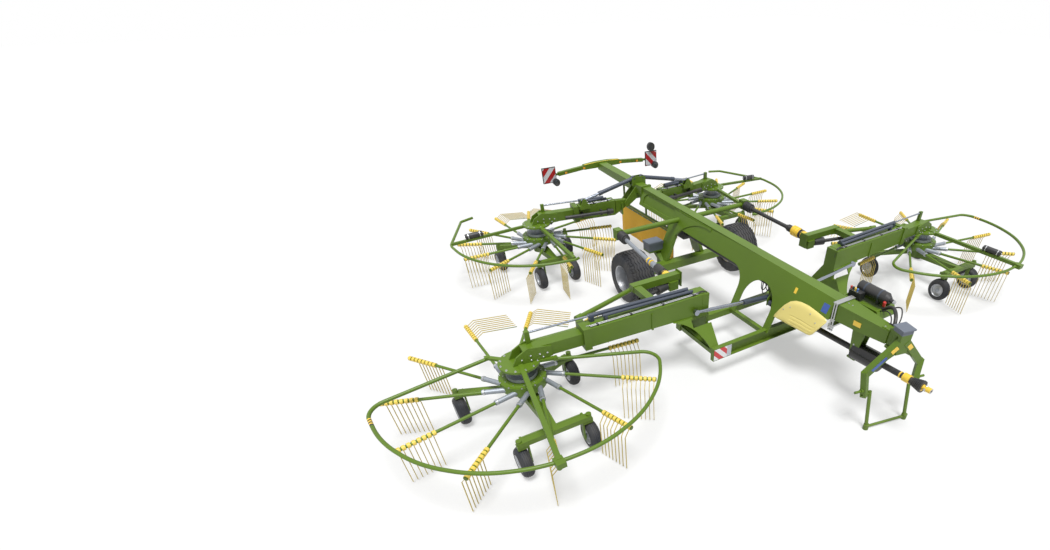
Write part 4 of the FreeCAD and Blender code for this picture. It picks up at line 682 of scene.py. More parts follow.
def roadTyre(centre, s):
    # each groove is a dip in the outline, and at the angle t the tread is moved along the axle by
    # sway (4 |t waves / 2 pi mod 1 - 1/2| - 1), so the ribs run round it in waves
    half, crown, depth, rim = s["half"], s["radius"], s["depth"], s["rim"]
    edge = half - s["edge"]
    wide = 2 * edge / s["ribs"]
    tread = []
    for rib in range(s["ribs"]):
        for share, drop in s["rib"]:
            place = -edge + 2 * edge * rib / s["ribs"] + share * wide
            tread.append((crown - drop * depth - s["crowning"] * abs(place / edge) ** 3, place))
    side = [(crown - drop, half - inset) for drop, inset in s["side"]]
    side += [(rim + rise, half - inset) for rise, inset in s["bead"]]

    def wave(turn, radius, along):
        below, fade = s["swayFade"]
        on = np.clip((radius - crown + below) / fade, 0, 1)
        sway = np.abs((turn * s["waves"] / (2 * math.pi)) % 1 - 0.5) * 4 - 1
        inside, fade = s["blockFade"]
        shoulder = np.clip((np.abs(along) - edge + inside) / fade, 0, 1) * on
        block = ((turn * s["waves"] * 2 / (2 * math.pi)) % 1 < s["blockShare"]) * shoulder
        return radius - block * depth * s["blockDepth"], along + sway * s["sway"] * on
    return wheelForm(centre, flipped(side) + tread + side, s["around"], wave)


def roadRim(centre, out, s):
    # a deep steel rim: flange, barrel, disc set back from the face, and the hub on it
    rim, half = s["rim"], s["half"]
    flange = [(rim + s["barrel"][0], half * s["barrel"][1])]
    flange += [(rim + rise, half - inset) for rise, inset in s["flange"]]
    inner, outer = [(r, -a * out) for r, a in flange], [(r, a * out) for r, a in reversed(flange)]
    face = [(rim + rise, a * out) for rise, a in s["disc"]] + [(r, a * out) for r, a in s["hub"]]
    bore, front, back = s["bore"]
    loop = [(bore, front * out), (bore, back * out), (rim + s["back"], back * out)]
    loop += inner + [(rim + s["well"], 0)] + outer + face
    return wheelForm(centre, loop if out < 0 else loop[::-1], 64)


def makeRoadWheel(side, s):
    out = 1 if side == "left" else -1
    low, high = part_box("transport_wheel_" + side)
    centre = np.array((low + high) / 2)
    axis = (0, out, 0)
    parts = Parts()
    parts.add("tyreRubber", roadTyre(centre, s))
    parts.add("rimSilver", roadRim(centre, out, s))
    parts.turned("castGrey", centre + (0, out * s["capAt"], 0), axis, s["cap"])
    bolts = s["bolts"]
    for spot in ringSpots(centre, bolts["circle"], bolts["count"], out * bolts["at"]):
        parts.bolted(spot, axis, bolts["size"])
    parts.turned("zincSteel", centre + (s["valveAt"][0], out * s["valveAt"][1], 0), axis, s["valve"], 10)
    wheel = makePiece("road_wheel_" + side, "transport_wheel_" + side, parts, 40)
    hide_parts("transport_wheel_" + side)


for side in ("right", "left"):
    makeRoadWheel(side, roadWheel)

trailWheel = {
    "radius": 0.205, "half": 0.0775, "grooves": (-0.036, -0.012, 0.012, 0.036), "crowning": 0.012,
    "crownHalf": 0.05, "groove": ((-0.006, 0), (-0.0035, 0.006), (0.0035, 0.006), (0.006, 0)),
    "shoulder": ((0.014, 0.05), (0.026, 0.066)),
    "side": ((0.16, 0.002), (0.148, 0), (0.132, 0.004), (0.122, 0.012), (0.114, 0.016)),
    "face": ((0.112, 0.014), (0.119, 0.01), (0.12, 0.004), (0.114, 0.003), (0.106, 0.012), (0.1, 0.036),
             (0.085, 0.043), (0.06, 0.036), (0.045, 0.03)),
    "bore": [(0.02, 0.05), (0.02, -0.05)], "cap": [(0, 0.036), (0.022, 0.036), (0.03, 0.028), (0.033, 0.01)],
    "inset": 0.04, "bolts": {"count": 5, "circle": 0.073, "size": 0.009}, "capAt": 0.04,
}


def makeTrailWheel(node, s):
    # a ribbed implement tyre on a pressed steel rim with a small hub cap
    low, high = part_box(node)
    centre = np.array((low + high) / 2)
    half, crown, bolts = s["half"], s["radius"], s["bolts"]
    tread = []
    for groove in s["grooves"]:
        for shift, drop in s["groove"]:
            place = groove + shift
            tread.append((crown - drop - s["crowning"] * abs(place / s["crownHalf"]) ** 3, place))
    side = [(crown - drop, y) for drop, y in s["shoulder"]] + [(r, half - inset) for r, inset in s["side"]]
    face = [(r, half - inset) for r, inset in s["face"]]
    parts = Parts()
    parts.add("tyreRubber", wheelForm(centre, flipped(side) + tread + side, 72))
    parts.add("rimSilver", wheelForm(centre, s["bore"] + flipped(face) + face, 40))
    for out in (1, -1):
        parts.turned("castGrey", centre + (0, out * s["capAt"], 0), (0, out, 0), s["cap"], 20)
        for spot in ringSpots(centre, bolts["circle"], bolts["count"], out * (half - s["inset"])):
            parts.bolted(spot, (0, out, 0), bolts["size"])
    wheel = makePiece("trail_" + node, node, parts, 40)
    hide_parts(node)


for end, side in corners:
    for number in range(1, 5):
        makeTrailWheel("wheel_%s_%s_%d" % (end, side, number), trailWheel)
print("wheels dressed")

# its waves along x: (waves per metre, start, what the fall adds, share)
curtain = {"x": (-2.6, -0.48), "z": (0.235, 0.872), "columns": 260, "rows": 80, "thick": 0.003,
           "ripple": 0.011, "waves": ((8.3, 0.4, 0, 0.55), (17.0, 2.1, 1.4, 0.3), (3.1, 0, 0, 0.35)),
           "batten": {"middle": -1.54, "size": (2.08, 0.006, 0.034), "z": 0.83, "y": 0.0091,
                      "chamfer": 0.0015, "screws": (-2.5, -0.6, 10), "screwY": 0.0119, "screw": 0.009}}


def makeCurtain(s):
    # a sheet hung from its rod; fall runs from 0 at the rod to 1 at the hem, and
    # y = ripple fall^0.8 times the sum of share sin(rate x + start + add fall) over its waves
    across = np.linspace(*s["x"], s["columns"])[None, :]
    up = np.linspace(s["z"][1], s["z"][0], s["rows"])[:, None]
    fall = (s["z"][1] - up) / (s["z"][1] - s["z"][0])
    waves = sum(np.sin(across * rate + start + add * fall) * share for rate, start, add, share in s["waves"])
    y = s["ripple"] * fall ** 0.8 * waves
    points = np.stack(np.broadcast_arrays(across + axleX, y, up + 0 * across), -1).reshape(-1, 3)
    row, column = np.arange(s["rows"] - 1)[:, None], np.arange(s["columns"] - 1)[None, :]
    first = row * s["columns"] + column
    quads = np.stack((first, first + s["columns"], first + s["columns"] + 1, first + 1), -1).reshape(-1, 4)
    cloth = makePiece("curtain_cloth", "chassis", [((points, quads, []), "curtainCloth")], 60)
    wall = cloth.modifiers.new("thickness", "SOLIDIFY")
    wall.thickness, wall.offset = s["thick"], 0
    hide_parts("swath_curtain")
    # a batten on each face below the rod, and the screws that hold it
    batten, trims = s["batten"], Parts()
    for out in (-1, 1):
        place = at(batten["middle"], out * batten["y"], batten["z"])
        trims.block("greenPaint", place, batten["size"], chamfer=batten["chamfer"])
        for x in np.linspace(*batten["screws"]):
            trims.bolted(at(x, out * batten["screwY"], batten["z"]), (0, out, 0), batten["screw"])
    makePiece("curtain_battens", "chassis", trims)


makeCurtain(curtain)
print("curtain hung")


def ribbed(length, thin, thick, ribs, steps=8):
    # the outline of a bellows: the radius swings between thin and thick once for each rib
    share = np.linspace(0, 1, ribs * steps + 1)
    radius = thin + (thick - thin) * (0.5 - 0.5 * np.cos(share * ribs * 2 * math.pi))
    return list(zip(share * length, radius))


# bellows are (length, thin, thick, ribs); each ring is (back from the end, how wide, its finish)
shafts = {"start": (-0.035, -1.41, 1.255), "end": (1.45, -1.49, 1.172),
          "bootAt": 0.002, "boot": (0.17, 0.068, 0.086, 6), "bootEnd": [(0.2, 0.06), (0.215, 0.04)],
          "cupAt": 0.02, "cupStart": [(0, 0.05), (0.01, 0.074)], "cupRibs": 0.012,
          "cup": (0.09, 0.066, 0.08, 4), "cupEnd": [(0.108, 0.05)],
          "tube": 0.04, "ring": (0.049, 0.051), "ringEdges": (0.003, 0.004),
          "rings": ((0.47, 0.035, "yellowPlastic"), (0.42, 0.03, "blueRing"), (0.385, 0.03, "yellowPlastic"),
                    (0.2, 0.05, "yellowPlastic")),
          "drumAt": 0.176, "drumBootAt": 0.3, "drumBoot": (0.12, 0.05, 0.062, 5),
          "drum": [(0, 0.05), (0.004, 0.088), (0.03, 0.09), (0.034, 0.08), (0.05, 0.08), (0.054, 0.09),
                   (0.08, 0.09), (0.084, 0.08), (0.1, 0.08), (0.104, 0.09), (0.15, 0.088), (0.156, 0.06)]}


def makeShaftTrim(s):
    # bellows behind both side shafts; coloured rings on the right one, a ridged clutch drum on the left one
    start, end = at(*s["start"]), at(*s["end"])
    along = unit(end - start)
    boots = Parts()
    boot = ribbed(*s["boot"]) + s["bootEnd"]
    boots.turned("blackPlastic", start - along * s["bootAt"], along, boot, 36)
    cup = s["cupStart"] + [(s["cupRibs"] + a, r) for a, r in ribbed(*s["cup"])] + s["cupEnd"]
    boots.turned("blackPlastic", end - along * s["cupAt"], along, cup)
    rings, tube = Parts(), s["tube"]
    (low, high), (first, last) = s["ring"], s["ringEdges"]
    for away, wide, finish in s["rings"]:
        profile = [(0, tube), (first, low), (wide, high), (wide + last, tube)]
        rings.turned(finish, end - along * away, along, profile)
    makePiece("side_shaft_trim_right", "chassis", boots + rings)
    drum = Parts(boots)
    drum.turned("yellowPlastic", end - along * s["drumAt"], along, s["drum"], 40)
    drum.turned("blackPlastic", end - along * s["drumBootAt"], along, ribbed(*s["drumBoot"]))
    makePiece("side_shaft_trim_left", "chassis", drum.mirrored())


makeShaftTrim(shafts)

# the inlet and the cheeks turn with the boom; then the ring of bolts and what holds each arm to the hub
rotorHead = {"inlet": (-0.15, 0.345, 0.9), "inletFrom": 0.6, "bootStart": [(-0.03, 0.035)],
             "boot": (0.16, 0.05, 0.068, 5), "bootEnd": [(0.2, 0.055), (0.215, 0.045)],
             "ring": {"count": 12, "circle": 0.24, "z": 0.9585, "size": 0.017},
             "cheekX": 0.1055, "cheekBolt": 0.014,
             "cheek": ((0.02, 1.02), (0.14, 1.05), (0.26, 1.04), (0.36, 1.03), (0.14, 0.985), (0.3, 0.985)),
             "armBolts": (0.21, 0.275), "armBoltShare": 0.7, "armBoltZ": 0.7355, "armBolt": 0.013,
             "bandAt": 0.5, "bandBack": 0.02,
             "band": [(0, 0.034), (0.004, 0.039), (0.026, 0.039), (0.032, 0.03), (0.034, 0.022)]}


def makeHeadTrim(end, side, s):
    # on each rotor's head: boot over the drive inlet, ring of bolts, cheek bolts
    point = lambda x, y, z, swept=False: rotorPoint(end, "right", x, y, z, swept)
    x, y, z = s["inlet"]
    inlet, inner = point(x, y, z, True), point(x, s["inletFrom"], z, True)
    parts, ring = Parts(), s["ring"]
    boot = s["bootStart"] + ribbed(*s["boot"]) + s["bootEnd"]
    parts.turned("blackPlastic", inlet, inlet - inner, boot, 36)
    for turn in anglesOf(ring["count"]):
        spot = point(ring["circle"] * math.cos(turn), ring["circle"] * math.sin(turn), ring["z"])
        parts.bolted(spot, (0, 0, 1), ring["size"])
    for x in (-s["cheekX"], s["cheekX"]):
        for y, z in s["cheek"]:
            spot = point(x, y, z, True)
            parts.bolted(spot, point(x * 2, y, z, True) - spot, s["cheekBolt"])
    makePiece("head_trim_%s_%s" % (end, side), "rotor_frame_%s_%s" % (end, side), parts.sided(side))
    # two bolts hold each arm's socket to the hub, and a band closes its outer end
    spec, hub = units[end], Parts()
    for turn in armTurns(end):
        spot = lambda out, off, z: point(out * math.cos(turn) - off * math.sin(turn),
                                         out * math.sin(turn) + off * math.cos(turn), z)
        for out in s["armBolts"]:
            hub.bolted(spot(out, spec["offset"] * s["armBoltShare"], s["armBoltZ"]), (0, 0, 1), s["armBolt"])
        outward = point(math.cos(turn), math.sin(turn), 0) - point(0, 0, 0)
        band = spot(s["bandAt"], spec["offset"], spec["armZ"])
        hub.turned("zincSteel", band - outward * s["bandBack"], outward, s["band"], 24)
    makePiece("hub_trim_%s_%s" % (end, side), "rotor_%s_%s" % (end, side), hub.sided(side))


for end, side in corners:
    makeHeadTrim(end, side, rotorHead)
print("rotor heads trimmed")

lightBar = {"x": -3.46, "half": 0.041, "reflectors": (0.46, 0.9), "barZ": 1.438, "fall": (0.05, 0.42, 0.65),
            "lower": 0.002, "lensOut": 0.006, "chamfer": 0.002,
            "lamps": (-1.165, 1.375), "lampZ": 1.255, "lampFront": -3.35, "lampBack": -3.445,
            "bezel": [(-0.03, 0.069), (-0.028, 0.0735), (0.004, 0.0735), (0.006, 0.066), (0.001, 0.06)],
            "glass": [(-0.002, 0.064), (0.003, 0.06), (0.008, 0.04), (0.01, 0.012)],
            "lens": [(-0.03, 0.066), (0.004, 0.062), (0.012, 0.055), (0.02, 0.03)],
            "ring": [(-0.03, 0.071), (0.002, 0.071), (0.004, 0.064), (-0.02, 0.063)],
            "housing": (0.014, 0.065, 0.05), "reflector": (0.008, 0.055, 0.04),
            "strip": {"half": 0.44, "points": 60, "radius": 0.008, "x": 0.03, "z": 1.4975, "rise": 0.0135,
                      "reach": 0.45, "slope": 0.29}}


def makeLightTrim(s):
    # amber reflectors on both faces of the light bar, lamps with clear fronts and red backs, a strip on top
    parts = Parts()
    for y in s["reflectors"]:
        drop, begin, length = s["fall"]
        z = s["barZ"] - drop * (y - begin) / length - s["lower"]
        for out in (1, -1):
            x = s["x"] + out * s["half"]
            parts.block("blackPlastic", at(x, -y, z), s["housing"], chamfer=s["chamfer"])
            parts.block("amberLens", at(x + out * s["lensOut"], -y, z), s["reflector"], chamfer=s["chamfer"])
    parts = parts.both()
    for y in s["lamps"]:
        face, back = at(s["lampFront"], y, s["lampZ"]), at(s["lampBack"], y, s["lampZ"])
        parts.turned("blackPlastic", face, (1, 0, 0), s["bezel"], 36)
        parts.turned("lampGlass", face, (1, 0, 0), s["glass"])
        parts.turned("redLens", back, (-1, 0, 0), s["lens"], 36)
        parts.turned("blackPlastic", back, (-1, 0, 0), s["ring"], 36)
    makePiece("light_trim", "chassis", parts)
    strip = s["strip"]
    y = np.linspace(-strip["half"], strip["half"], strip["points"])
    share = np.clip((strip["reach"] - np.abs(y)) / strip["slope"], 0, 1)
    z = strip["z"] + share * strip["rise"] - strip["radius"]
    path = np.stack((np.full(len(y), s["x"] + axleX + strip["x"]), y, z), -1)
    makePiece("light_strip", "chassis", [(pipeForm(path, strip["radius"], 10), "yellowPlastic")])


makeLightTrim(lightBar)
print("light bar trimmed")

drawbarTrim = {"clampX": (3.802, 3.842), "clampY": 0.165, "nutZ": (0.948, 0.92),
               "nut": [(0, 0.019), (0.003, 0.022), (0.016, 0.022), (0.019, 0.019)],
               "hanger": (4.21, -0.079), "hangerZ": (0.7, 0.78, 0.86), "hangerBolt": 0.014,
               "top": (3.83, 3.9, 3.97), "topZ": (1.3345, 3.78, 0.0379), "topBolt": 0.012}


def makeDrawbarTrim(s):
    # nuts on the clamp rods, the bolts of the hanger below and those on the drawbar's top
    parts = Parts()
    for x in s["clampX"]:
        for z in s["nutZ"]:
            parts.turned("zincSteel", at(x, -s["clampY"], z), (0, 0, 1), s["nut"], 6)
    for z in s["hangerZ"]:
        parts.bolted(at(*s["hanger"], z), (0, -1, 0), s["hangerBolt"])
    parts = parts.both()
    z, start, slope = s["topZ"]
    for x in s["top"]:
        parts.bolted(at(x, 0, z - (x - start) * slope), (0, 0, 1), s["topBolt"])
    makePiece("drawbar_trim", "chassis", parts)


makeDrawbarTrim(drawbarTrim)

tank = {"centre": (0.4525, 1.385), "bands": (3.8, 4.05), "end": 3.701, "outlet": 4.27,
        "band": [(0, 0.084), (0.002, 0.0885), (0.028, 0.0885), (0.03, 0.084)],
        "foot": {"shift": (0.015, -0.05, -0.085), "size": (0.04, 0.05, 0.06), "chamfer": 0.004},
        "dome": [(-0.002, 0.08), (0.012, 0.074), (0.02, 0.05), (0.024, 0.02)],
        "plug": [(0, 0.03), (0.012, 0.03), (0.016, 0.022), (0.03, 0.022)],
        "couplings": {"place": (3.68, 0.27, 1.374), "step": 0.038,
                      "finishes": ("redCap", "blackPlastic", "yellowPlastic", "blueRing"),
                      "cap": [(0, 0.013), (0.03, 0.013), (0.034, 0.016), (0.05, 0.016), (0.054, 0.012)],
                      "nut": [(-0.004, 0.017), (0.01, 0.017), (0.012, 0.013)]},
        "valve": (4.2, 0.36, 1.315), "knob": [(0, 0.02), (0.02, 0.024), (0.06, 0.024), (0.07, 0.016)]}


def makeTankTrim(s):
    # straps round the pressure tank, its screwed ends, and the coupling row on the block beside it
    parts = Parts()
    (y, z), foot = s["centre"], s["foot"]
    for x in s["bands"]:
        parts.turned("slatePaint", at(x, y, z), (1, 0, 0), s["band"], 40)
        place = at(x, y, z) + foot["shift"]
        parts.block("blackPlastic", place, foot["size"], chamfer=foot["chamfer"])
    parts.turned("blackPlastic", at(s["end"], y, z), (-1, 0, 0), s["dome"], 36)
    row = s["couplings"]
    for index, finish in enumerate(row["finishes"]):
        start = at(row["place"][0] + row["step"] * index, *row["place"][1:])
        parts.turned(finish, start, (0, 0, 1), row["cap"], 16)
        parts.turned("zincSteel", start, (0, 0, 1), row["nut"], 6)
    parts.turned("zincSteel", at(s["outlet"], y, z), (1, 0, 0), s["plug"], 6)
    parts.turned("redCap", at(*s["valve"]), (0, 0, 1), s["knob"], 20)
    makePiece("tank_trim", "chassis", parts)


makeTankTrim(tank)

# control points from the axle, hose by hose; the boom's are given beside its rotor and turn with it
hoses = {
    "sleeve": {"body": "chassis", "diameter": 0.05, "routes": [
        [(4.2, 0.315, 1.27), (4.28, 0.315, 1.34), (4.4, 0.27, 1.425), (4.52, 0.17, 1.42), (4.6, 0.085, 1.37),
         (4.615, 0.062, 1.318)]]},
    "supply": {"body": "chassis", "diameter": 0.018, "routes": [
        [(4.2, 0.265, 1.27), (4.27, 0.26, 1.31), (4.37, 0.21, 1.37), (4.47, 0.14, 1.39), (4.55, 0.075, 1.36),
         (4.56, 0.06, 1.312)],
        [(4.2, 0.365, 1.27), (4.35, 0.36, 1.36), (4.49, 0.30, 1.46), (4.6, 0.18, 1.46), (4.655, 0.10, 1.39),
         (4.655, 0.062, 1.31)]]},
    "loops": {"body": "chassis", "diameter": 0.016, "routes": [
        [(3.75, 0.3, 1.19), (3.76, 0.31, 1.1), (3.8, 0.33, 0.98), (3.9, 0.32, 0.9), (4.02, 0.28, 0.93),
         (4.1, 0.2, 1.02), (4.12, 0.118, 1.09)],
        [(3.83, 0.33, 1.19), (3.84, 0.34, 1.1), (3.9, 0.37, 0.96), (4.0, 0.36, 0.87), (4.12, 0.3, 0.9),
         (4.2, 0.2, 1.01), (4.21, 0.112, 1.1)],
        [(3.92, 0.36, 1.19), (3.93, 0.37, 1.12), (3.98, 0.4, 1.0), (4.08, 0.38, 0.92), (4.2, 0.3, 0.94),
         (4.29, 0.19, 1.04), (4.3, 0.108, 1.12)]]},
    "arch": {"body": "chassis", "diameter": 0.016, "routes": [
        [(2.29, -0.12, 1.08), (2.3, -0.14, 0.99), (2.35, -0.17, 0.9), (2.42, -0.16, 0.95),
         (2.43, -0.12, 1.08)],
        [(2.33, -0.12, 1.08), (2.34, -0.15, 0.95), (2.4, -0.19, 0.86), (2.49, -0.17, 0.93),
         (2.5, -0.12, 1.08)],
        [(2.37, -0.12, 1.08), (2.39, -0.13, 0.97), (2.45, -0.14, 0.92), (2.52, -0.14, 0.98),
         (2.54, -0.12, 1.08)],
        [(2.29, 0.12, 1.08), (2.3, 0.14, 0.99), (2.35, 0.17, 0.9), (2.42, 0.16, 0.95), (2.43, 0.12, 1.08)],
        [(2.35, 0.12, 1.08), (2.37, 0.14, 0.95), (2.44, 0.18, 0.88), (2.52, 0.16, 0.95),
         (2.53, 0.12, 1.08)]]},
}
boomHoses = {"diameter": 0.014, "routes": [
    [(0.055, 2.66, 1.255), (0.055, 2.76, 1.275), (0.05, 2.82, 1.24), (0.045, 2.83, 1.15), (0.04, 2.8, 1.06),
     (0.04, 2.772, 1.04)],
    [(0.08, 2.62, 1.254), (0.082, 2.76, 1.28), (0.08, 2.84, 1.25), (0.075, 2.85, 1.12), (0.07, 2.81, 1.0),
     (0.07, 2.772, 0.98)]]}


def makeHoses(sets, boom):
    for group, s in sets.items():
        for index, route in enumerate(s["routes"]):
            path = [at(*point) for point in route]
            makeHose("hose_%s_%d" % (group, index + 1), s["body"], path, s["diameter"])
    for side in ("right", "left"):
        body = "boom_front_" + side
        for index, route in enumerate(boom["routes"]):
            path = [rotorPoint("front", side, *point, True) for point in route]
            makeHose("hose_%s_%d" % (body, index + 1), body, path, boom["diameter"])


makeHoses(hoses, boomHoses)

# the guide over the hitch has a plate, a block and two bolts; the arch has a block on each side
hoseHolders = {"plate": ((4.6, 0.0, 1.309), (0.13, 0.15, 0.012)), "chamfer": 0.002,
               "guide": ((4.6, 0.062, 1.312), (0.12, 0.03, 0.024)),
               "bolts": ((4.56, -0.04, 1.315), (4.64, -0.04, 1.315)), "bolt": 0.012,
               "block": ((2.415, -0.12, 1.098), (0.29, 0.05, 0.03)),
               "ferruleX": (2.3, 2.34, 2.38, 2.43, 2.5, 2.54), "ferruleYZ": (-0.12, 1.102),
               "ferrule": [(0, 0.012), (0.03, 0.012), (0.034, 0.0095), (0.05, 0.0095)]}


def makeHoseHolders(s):
    # the plate that guides the hoses over the hitch, and the blocks with ferrules that they leave in the arch
    guide, blocks = Parts(), Parts()
    place, size = s["plate"]
    guide.block("greenPaint", at(*place), size, chamfer=s["chamfer"])
    place, size = s["guide"]
    guide.block("blackPlastic", at(*place), size)
    for place in s["bolts"]:
        guide.bolted(at(*place), (0, 0, 1), s["bolt"])
    makePiece("hose_guide", "chassis", guide)
    for x in s["ferruleX"]:
        blocks.turned("zincSteel", at(x, *s["ferruleYZ"]), (0, 0, -1), s["ferrule"], 6)
    place, size = s["block"]
    blocks.block("blackPlastic", at(*place), size)
    makePiece("arch_blocks", "chassis", blocks.both())


makeHoseHolders(hoseHolders)
print("drawbar, tank and hoses done")

# where the leaning side of the beam stands: its upper edge's half-width and height, and how much it leans
flank = {"half": 0.088, "z": 1.375, "lean": 0.42}


def flankY(z):
    return flank["half"] + (flank["z"] - z) * flank["lean"]


cover = {"x": (2.885, 3.782),
         "top": ((2.885, 0.775), (2.93, 0.87), (2.985, 0.965), (3.06, 1.045), (3.15, 1.09), (3.25, 1.11),
                 (3.4, 1.118), (3.6, 1.1), (3.74, 1.083), (3.782, 1.06)),
         "low": ((2.885, 0.742), (3.58, 0.779), (3.63, 0.789), (3.668, 0.82), (3.73, 0.94), (3.782, 1.035)),
         "grooves": (0.14, 0.27, 0.40), "grooveX": (0.32, 0.9), "groove": 0.007, "grooveWidth": 0.014,
         "grooveEnd": 0.03, "stand": 0.008, "wall": 0.003, "swell": 0.03, "columns": 150, "rows": 90,
         "feet": ((3.02, 0.92), (3.12, 0.99), (3.64, 0.98), (3.5, 1.05), (3.3, 0.84)), "screwsAbove": 0.9,
         "foot": [(-0.004, 0.022), (0.012, 0.022), (0.014, 0.016)], "screwOut": 0.0375, "screw": 0.011}


def makeCovers(s):
    # a pressed panel on the leaning side of the frame: it swells by swell (1 - U^8)(1 - V^8), U = 2u - 1 and
    # V = 2v - 1, and each groove takes away groove exp(-((v - place) / grooveWidth)^2) between its two ends
    u = np.linspace(0, 1, s["columns"])[:, None]
    v = np.linspace(0, 1, s["rows"])[None, :]
    x = s["x"][0] + u * (s["x"][1] - s["x"][0])
    top, low = (np.interp(x, *np.array(s[key]).T) for key in ("top", "low"))
    z = low + v * (top - low)
    rise = s["swell"] * (1 - np.abs(2 * u - 1) ** 8) * (1 - np.abs(2 * v - 1) ** 8)
    first, last = s["grooveX"]
    fade = s["grooveEnd"]
    ends = np.clip((u - first) / fade, 0, 1) * np.clip((last - u) / fade, 0, 1)
    for place in s["grooves"]:
        rise = rise - s["groove"] * np.exp(-((v - place) / s["grooveWidth"]) ** 2) * ends
    wall = flankY(z) + s["stand"]
    outer = np.stack(np.broadcast_arrays(x + axleX, -(wall + rise), z), -1)
    inner = np.stack(np.broadcast_arrays(x + axleX, -(wall - s["wall"]) + 0 * u, z), -1)
    panel = Parts()
    panel.add("creamPaint", skin(np.concatenate((outer, inner[:, ::-1]), 1)))
    # rubber feet hold it off the frame, and screws go through all but the lowest
    lean = unit((0, -1, flank["lean"]))
    for x, z in s["feet"]:
        panel.turned("blackPlastic", at(x, -flankY(z), z), lean, s["foot"], 20)
        if z > s["screwsAbove"]:
            panel.bolted(at(x, -flankY(z) - s["screwOut"], z), lean, s["screw"])
    covers = makePiece("cover_panels", "chassis", panel.both())
    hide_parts("side_covers")


makeCovers(cover)

plates = {"face": 2.876, "size": (0.33, 0.19), "middle": (1.32, 0.4175), "thick": 0.005, "inset": 0.014,
          "out": 0.0015, "rivetOut": 0.0035,
          "rivet": [(-0.003, 0.005), (0.002, 0.005), (0.004, 0.003)]}


def makePlates(s):
    # thin marker plates on the front ends of the channel, with a rivet in each corner
    wide, tall = s["size"]
    y, z = s["middle"]
    parts = Parts()
    parts.block("markerFilm", at(s["face"] + s["out"], -y, z), (s["thick"], wide, tall), chamfer=0.001)
    across, above = wide / 2 - s["inset"], tall / 2 - s["inset"]
    for dy in (-across, across):
        for dz in (-above, above):
            spot = at(s["face"] + s["rivetOut"], -y + dy, z + dz)
            parts.turned("zincSteel", spot, (1, 0, 0), s["rivet"], 12)
    makePiece("marker_plates", "chassis", parts.both())


makePlates(plates)


def patchForm(x, z, wide, tall, s):
    # a thin blank label on the right side of the beam, which leans below its upper edge
    y = -flankY(min(z, flank["z"])) - s["out"]
    lean = (0, flank["lean"], 1) if z < flank["z"] else (0, 0, 1)
    axes = ((1, 0, 0), lean, np.cross((1, 0, 0), lean))
    return blockForm(at(x, y, z), (wide, tall, s["thin"]), axes, s["chamfer"])


hitch = {"x": 4.74, "turn": -12.8}


def headPoint(x, y, z):
    # a point beside the hitch pin, on the headstock, which stands turned about it
    turn = math.radians(hitch["turn"])
    c, s = math.cos(turn), math.sin(turn)
    return at(hitch["x"] + x * c - y * s, x * s + y * c, z)


# beam labels are (x, z, wide, tall), those on the headstock's arms (share of the arm, wide, tall)
labels = {"beam": ((3.06, 1.2, 0.05, 0.085, "labelYellow"), (3.66, 1.19, 0.11, 0.13, "labelBlue")),
          "drawbar": {"place": (4.2, -0.1245, 1.19), "size": (0.12, 0.07), "along": (1, 0.08, 0)},
          "arms": {-1: ((0.2, 0.07, 0.1, "labelYellow"), (0.62, 0.05, 0.24, "labelBlue")),
                   1: ((0.2, 0.06, 0.1, "labelYellow"),)},
          "armTop": (0.1555, 0.04, 1.235), "armRun": (-0.015, 0.41, -0.424),
          "armLine": ((0.1, 0.45, 0.811), (0.115, 0.04, 1.235)), "thick": 0.003, "thin": 0.0025,
          "out": 0.0008, "chamfer": 0.0006}


def makeLabels(s):
    # blank labels: yellow and blue on the beam, and more on the drawbar's flanks and the headstock's arms
    parts = Parts()
    for x, z, wide, tall, finish in s["beam"]:
        patch = patchForm(x, z, wide, tall, s)
        parts.add(finish, patch)
        parts.add(finish, mirroredForm(patch))
    bar, side = s["drawbar"], Parts()
    axes = (bar["along"], (0, 0, 1), np.cross(bar["along"], (0, 0, 1)))
    side.block("labelYellow", at(*bar["place"]), (*bar["size"], s["thick"]), axes, s["chamfer"])
    makePiece("beam_labels", "chassis", parts + side.both())
    arms, front = Parts(), headPoint(1, 0, 0) - headPoint(0, 0, 0)
    for out, patches in s["arms"].items():
        for share, wide, tall, finish in patches:
            x, y, z = np.array(s["armTop"]) + np.array(s["armRun"]) * share
            foot, top = (headPoint(px, out * py, pz) for px, py, pz in s["armLine"])
            along = unit(foot - top)
            axes = (np.cross(along, front), along, front)
            arms.block(finish, headPoint(x, out * y, z), (wide, tall, s["thick"]), axes, s["chamfer"])
    makePiece("head_labels", "headstock", arms)


makeLabels(labels)

# from and to are the ends of the guard's arm beside the rotor, and half is half its height
guards = {"front": {"from": (0.08, -0.01, 0.945), "to": (1.815, -0.257, 0.84), "half": 0.031},
          "rear": {"from": (-0.03, -0.06, 0.94), "to": (-0.15, -1.66, 0.836), "half": 0.025}}
# dome is (in from the end, below the radius), rod (past the end, radius), band (along, above the radius)
roll = {"share": 0.72, "half": 0.17, "radius": 0.048, "above": 0.047, "clamps": (-0.11, 0.11),
        "dome": ((0, 0.036), (0.004, 0.012), (0.014, 0.002), (0.03, 0)),
        "rod": ((0.012, 0.01), (0.01, 0.013)), "band": ((0.009, -0.002), (0.008, 0.0025)),
        "plateDrop": 0.028, "plate": (0.03, 0.078), "plateMore": 0.02, "chamfer": 0.004}


def bothEnds(profile):
    # a profile's first half and its mirror image
    return profile + [(-a, r) for a, r in reversed(profile)]


